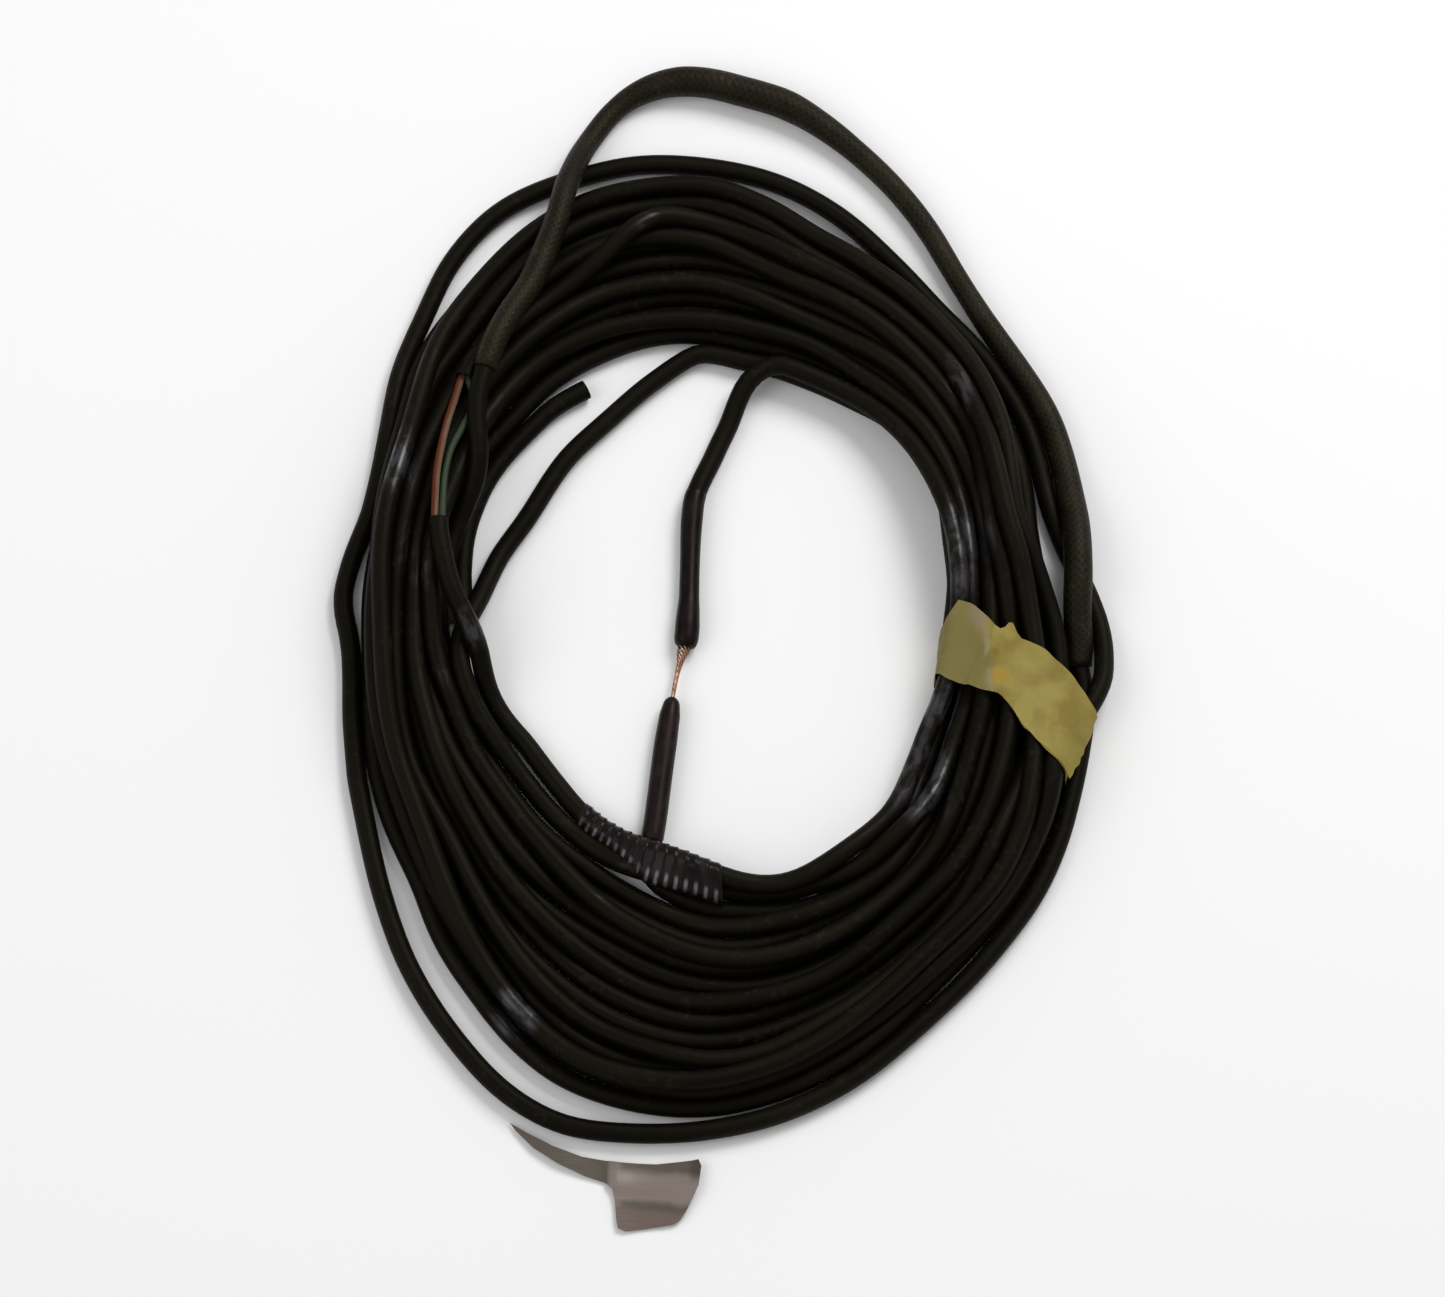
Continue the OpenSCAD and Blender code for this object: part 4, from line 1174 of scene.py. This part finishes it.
# %% The outline of the two strands
WRAP_FROM, WRAP_TO = 240.0, 273.2
WRAP_MARGIN = 2
WRAP_GAPS = 20
WRAP_SIDES = 64
JOINED_FROM, JOINED_BLEND = 250, 8
slice_at = np.linspace(WRAP_FROM - WRAP_MARGIN, WRAP_TO + WRAP_MARGIN, WRAP_GAPS + 1)
hearts = np.array([strands_at(angle, [inner_path])[0] for angle in slice_at])
leans = []
for angle, heart in zip(slice_at, hearts):
    away = strands_at(angle) - heart
    far = np.linalg.norm(away, axis=1)
    outer = np.nonzero((far > 0.004) & (away[:, 0] > 0.6 * far))[0]
    nearest = outer[np.argmin(far[outer])]
    leans.append(away[nearest] / far[nearest])
leans = np.array(leans)
for _ in range(4):
    soften(leans)
wrap_slices = []
for angle, heart, lean in zip(slice_at, hearts, leans):
    joined = min(1.0, max(0.0, (angle - JOINED_FROM) / JOINED_BLEND))
    pair = np.array([heart, heart + unit(lean) * (0.0004 + 0.0058 * joined)])
    wrap_slices.append(tight_outline(pair, BOUND_R, WRAP_SIDES))
wrap_slices = np.array(wrap_slices)
soften(wrap_slices)
print("the wrap grows from", round(1000 * lengths_along(wrap_slices[0])[-1], 1), "to",
      round(1000 * lengths_along(wrap_slices[-1])[-1], 1), "mm round")

# %% Wind the tape round them
WRAP_STEPS = 112
RIB_HEIGHT = 0.00045
FILM_UNDER = 0.0002
WRAP_DISTANCE = 0.08
wrap_rings_out, wrap_rings_in = [], []
wrap_angles = np.linspace(WRAP_FROM, WRAP_TO, WRAP_STEPS + 1)
rib_slant = np.linspace(0, 1, WRAP_SIDES + 1)[:-1] * RIB_SLANT
for angle in wrap_angles:
    row = (angle - WRAP_FROM + WRAP_MARGIN) / (WRAP_TO - WRAP_FROM + 2 * WRAP_MARGIN) * WRAP_GAPS
    r = min(WRAP_GAPS - 1, int(row))
    outline = wrap_slices[r] * (1 - row + r) + wrap_slices[r + 1] * (row - r)
    outline = outline[:-1]
    middle = outline.mean(axis=0)
    way = (outline - middle) / np.linalg.norm(outline - middle, axis=1)[:, None]
    lap = ((angle - WRAP_FROM) / (WRAP_TO - WRAP_FROM) * WRAP_RIBS + rib_slant) % 1.0
    lip = min(1.0, (angle - WRAP_FROM) / 0.5, (WRAP_TO - angle) / 0.5)
    for rings, lift in ((wrap_rings_out, (RIB_HEIGHT * lap ** 1.6) * lip), (wrap_rings_in, -FILM_UNDER + 0 * lap)):
        spot = outline + way * lift[:, None]
        rings.append(clock(np.stack([np.full(WRAP_SIDES, angle), 1000 * spot[:, 0],
                                     1000 * np.maximum(0.0002, spot[:, 1])], axis=1)))
wrap_far = np.radians(wrap_angles - WRAP_FROM) * WRAP_DISTANCE
wrap = skin("glossy_wrap", wrap_rings_out + wrap_rings_in[::-1],
            np.concatenate([wrap_far, wrap_far[::-1]]), WRAP_GIRTH, joined=True)
dress(wrap, "inner_tape_wrap", slot="glossy_tape", material=film)
print("the wrap is", round(1000 * wrap_far[-1], 1), "mm long")

# %% [markdown]
# ## The grey tag
# Beside the coil lies a folded piece of grey tape with a thin tail. Its outline is drawn, filled and cut into small
# faces, so that the sheet can curl: the tail lies flat, the block lifts along its right edge.

# %% Cut out the tag
TAG_OUTLINE = [(-60.7, -151), (-55.4, -154.3), (-48.1, -158.2), (-39.7, -161.3), (-29.2, -163),
               (-17.8, -163.6), (-7.3, -162.8), (-5.4, -162.5), (-4.6, -164.4), (-5.4, -170.4),
               (-8.5, -177), (-10.8, -180.7), (-13.1, -181.9), (-20.7, -183), (-26.7, -183.8),
               (-28.9, -183), (-29.4, -179.9), (-29.8, -174.7), (-30.6, -171.2), (-32.7, -169.1),
               (-39.1, -166.9), (-46.7, -163.4), (-53.7, -158.8), (-58.9, -153.5)]
TAG_LEFT, TAG_BACK = -0.064, -0.150
FACE_LONG, FACE_WIDE = 0.00185, 0.002
tag_corners = [(x / 1000, y / 1000, 0.0) for x, y in TAG_OUTLINE]
tag_mesh = bpy.data.meshes.new("grey_tape_piece")
tag_mesh.from_pydata(tag_corners, [], [tuple(range(len(tag_corners)))[::-1]])
tag = bpy.data.objects.new("grey_tape_piece", tag_mesh)
bpy.context.scene.collection.objects.link(tag)
pick(tag)
bpy.ops.object.mode_set(mode="EDIT")
for k in range(1, 34):
    bpy.ops.mesh.select_all(action="SELECT")
    bpy.ops.mesh.bisect(plane_co=(TAG_LEFT + FACE_LONG * k, 0, 0), plane_no=(1, 0, 0))
for k in range(1, 18):
    bpy.ops.mesh.select_all(action="SELECT")
    bpy.ops.mesh.bisect(plane_co=(0, TAG_BACK - FACE_WIDE * k, 0), plane_no=(0, 1, 0))
bpy.ops.mesh.select_all(action="SELECT")
bpy.ops.mesh.normals_make_consistent(inside=False)
bpy.ops.object.mode_set(mode="OBJECT")
print("the tag is cut into", len(tag.data.polygons), "faces")

# %% Curl and thicken the tag
for vertex in tag.data.vertices:
    x, y = vertex.co.x, vertex.co.y
    right = max(0.0, (x + 0.023) / 0.0185)
    left = max(0.0, (-0.0213 - x) / 0.008) if x > -0.032 else 0.0
    fold = math.exp(-((y + 0.1703 + 0.06 * (x + 0.018)) / 0.0016) ** 2) if x > -0.0315 else 0.0
    tail = max(0.0, (-0.033 - x) / 0.03)
    vertex.co.z = 0.0006 + 0.0021 * min(1, right) ** 2 + 0.0008 * min(1, left) ** 2 + 0.0007 * fold
    vertex.co.z += 0.0012 * math.sin(min(1, tail) * math.pi * 0.9) ** 2
thicken(tag, 0.0004, offset=0, smooth_to=50)
print("the tag has", len(tag.data.polygons), "faces on both sides and along its edge")


# %% Grey tape
def grey_tape_finish():
    """Silvery grey tape: brown-grey, with a paler lavender band painted along the fold and a pale left edge, as
    highlights.
    """
    paint = Paint("grey_tape_finish", specular_ior_level=0.5)
    place = paint.place()
    x, y = paint.parts(place)
    clouds = paint.noise(place, 130.0, 3.0, 0.6)
    threads = paint.noise(place, 900.0, 2.0, stretch=(0.15, 1, 1))
    skew = y + 0.10 * x + (clouds - 0.5) * 0.003
    highlight_band = skew.over(-0.1784, -0.1758) * (1 - skew.over(-0.1696, -0.1666)) * x.over(-0.0325, -0.0305)
    edge = (1 - x.over(-0.0295, -0.0267)) * x.over(-0.0325, -0.0308)
    corner = x.over(-0.0092, -0.0063) * y.over(-0.1708, -0.166)
    low = (1 - skew.over(-0.1807, -0.1784)) * x.over(-0.0325, -0.0305)
    colour = paint.blend(clouds, (0.070, 0.054, 0.037), (0.094, 0.074, 0.053))
    # The band along the fold and the left edge are painted pale lavender, as highlights.
    colour = paint.blend(highlight_band, colour, (0.208, 0.166, 0.146))
    colour = paint.blend(edge * 0.7, colour, (0.210, 0.168, 0.148))
    colour = paint.blend(low, colour, (0.130, 0.090, 0.072))
    colour = paint.blend(corner * 0.8, colour, (0.030, 0.024, 0.020))
    paint.set("Base Color", colour)
    paint.set("Roughness", 0.46 - highlight_band * 0.12 + clouds * 0.1)
    paint.bump(threads * 0.6 + clouds * 0.4, 0.0002)
    return paint.material


dress(tag, "grey_tape_tag", slot="grey_tape", material=grey_tape_finish())

# %% [markdown]


# %% [markdown]
# ## Floor and light
# The coil lies on a pale table, which is shown here but isn't part of the model. Many small lamps could copy a
# room's light, but two are enough: a key lamp behind on the right draws the highlights and the shadows, a weak one
# on the left softens them, and a white world fills the rest.

# %% Floor and light
bpy.ops.object.select_all(action="DESELECT")
bpy.ops.mesh.primitive_plane_add(size=8, location=(0, 0, -0.0002))
floor = bpy.context.object
floor.name = "floor"
floor_paint = Paint("pale_floor", roughness=0.9)
floor_paint.set("Base Color", floor_paint.blend(
    floor_paint.noise(floor_paint.place(), 3.0, 1.0), (0.93, 0.93, 0.93), (0.95, 0.95, 0.95)))
floor.data.materials.append(floor_paint.material)


def softbox(name, place, size, power):
    """A square lamp that faces the middle of the coil."""
    lamp = bpy.data.objects.new(name, bpy.data.lights.new(name, "AREA"))
    lamp.data.size = size
    lamp.data.energy = power
    lamp.location = place
    lamp.rotation_euler = (-Vector(place)).to_track_quat("-Z", "Y").to_euler()
    bpy.context.scene.collection.objects.link(lamp)
    print(name, "lamp of", power, "W")


WORLD_LIGHT = 0.46
softbox("key", (0.7, 0.9, 1.3), 0.8, 17)
softbox("fill", (-1.1, -0.3, 1.2), 1.2, 6.5)
world = bpy.data.worlds.new("studio")
bpy.context.scene.world = world
world.use_nodes = True
world.node_tree.nodes["Background"].inputs["Color"].default_value = (1, 1, 1, 1)
world.node_tree.nodes["Background"].inputs["Strength"].default_value = WORLD_LIGHT
bpy.context.scene.view_settings.view_transform = "Standard"

# %% [markdown]
# ## Finish
# The last call brings the scene up to date.

# %% Finish
bpy.context.view_layer.update()
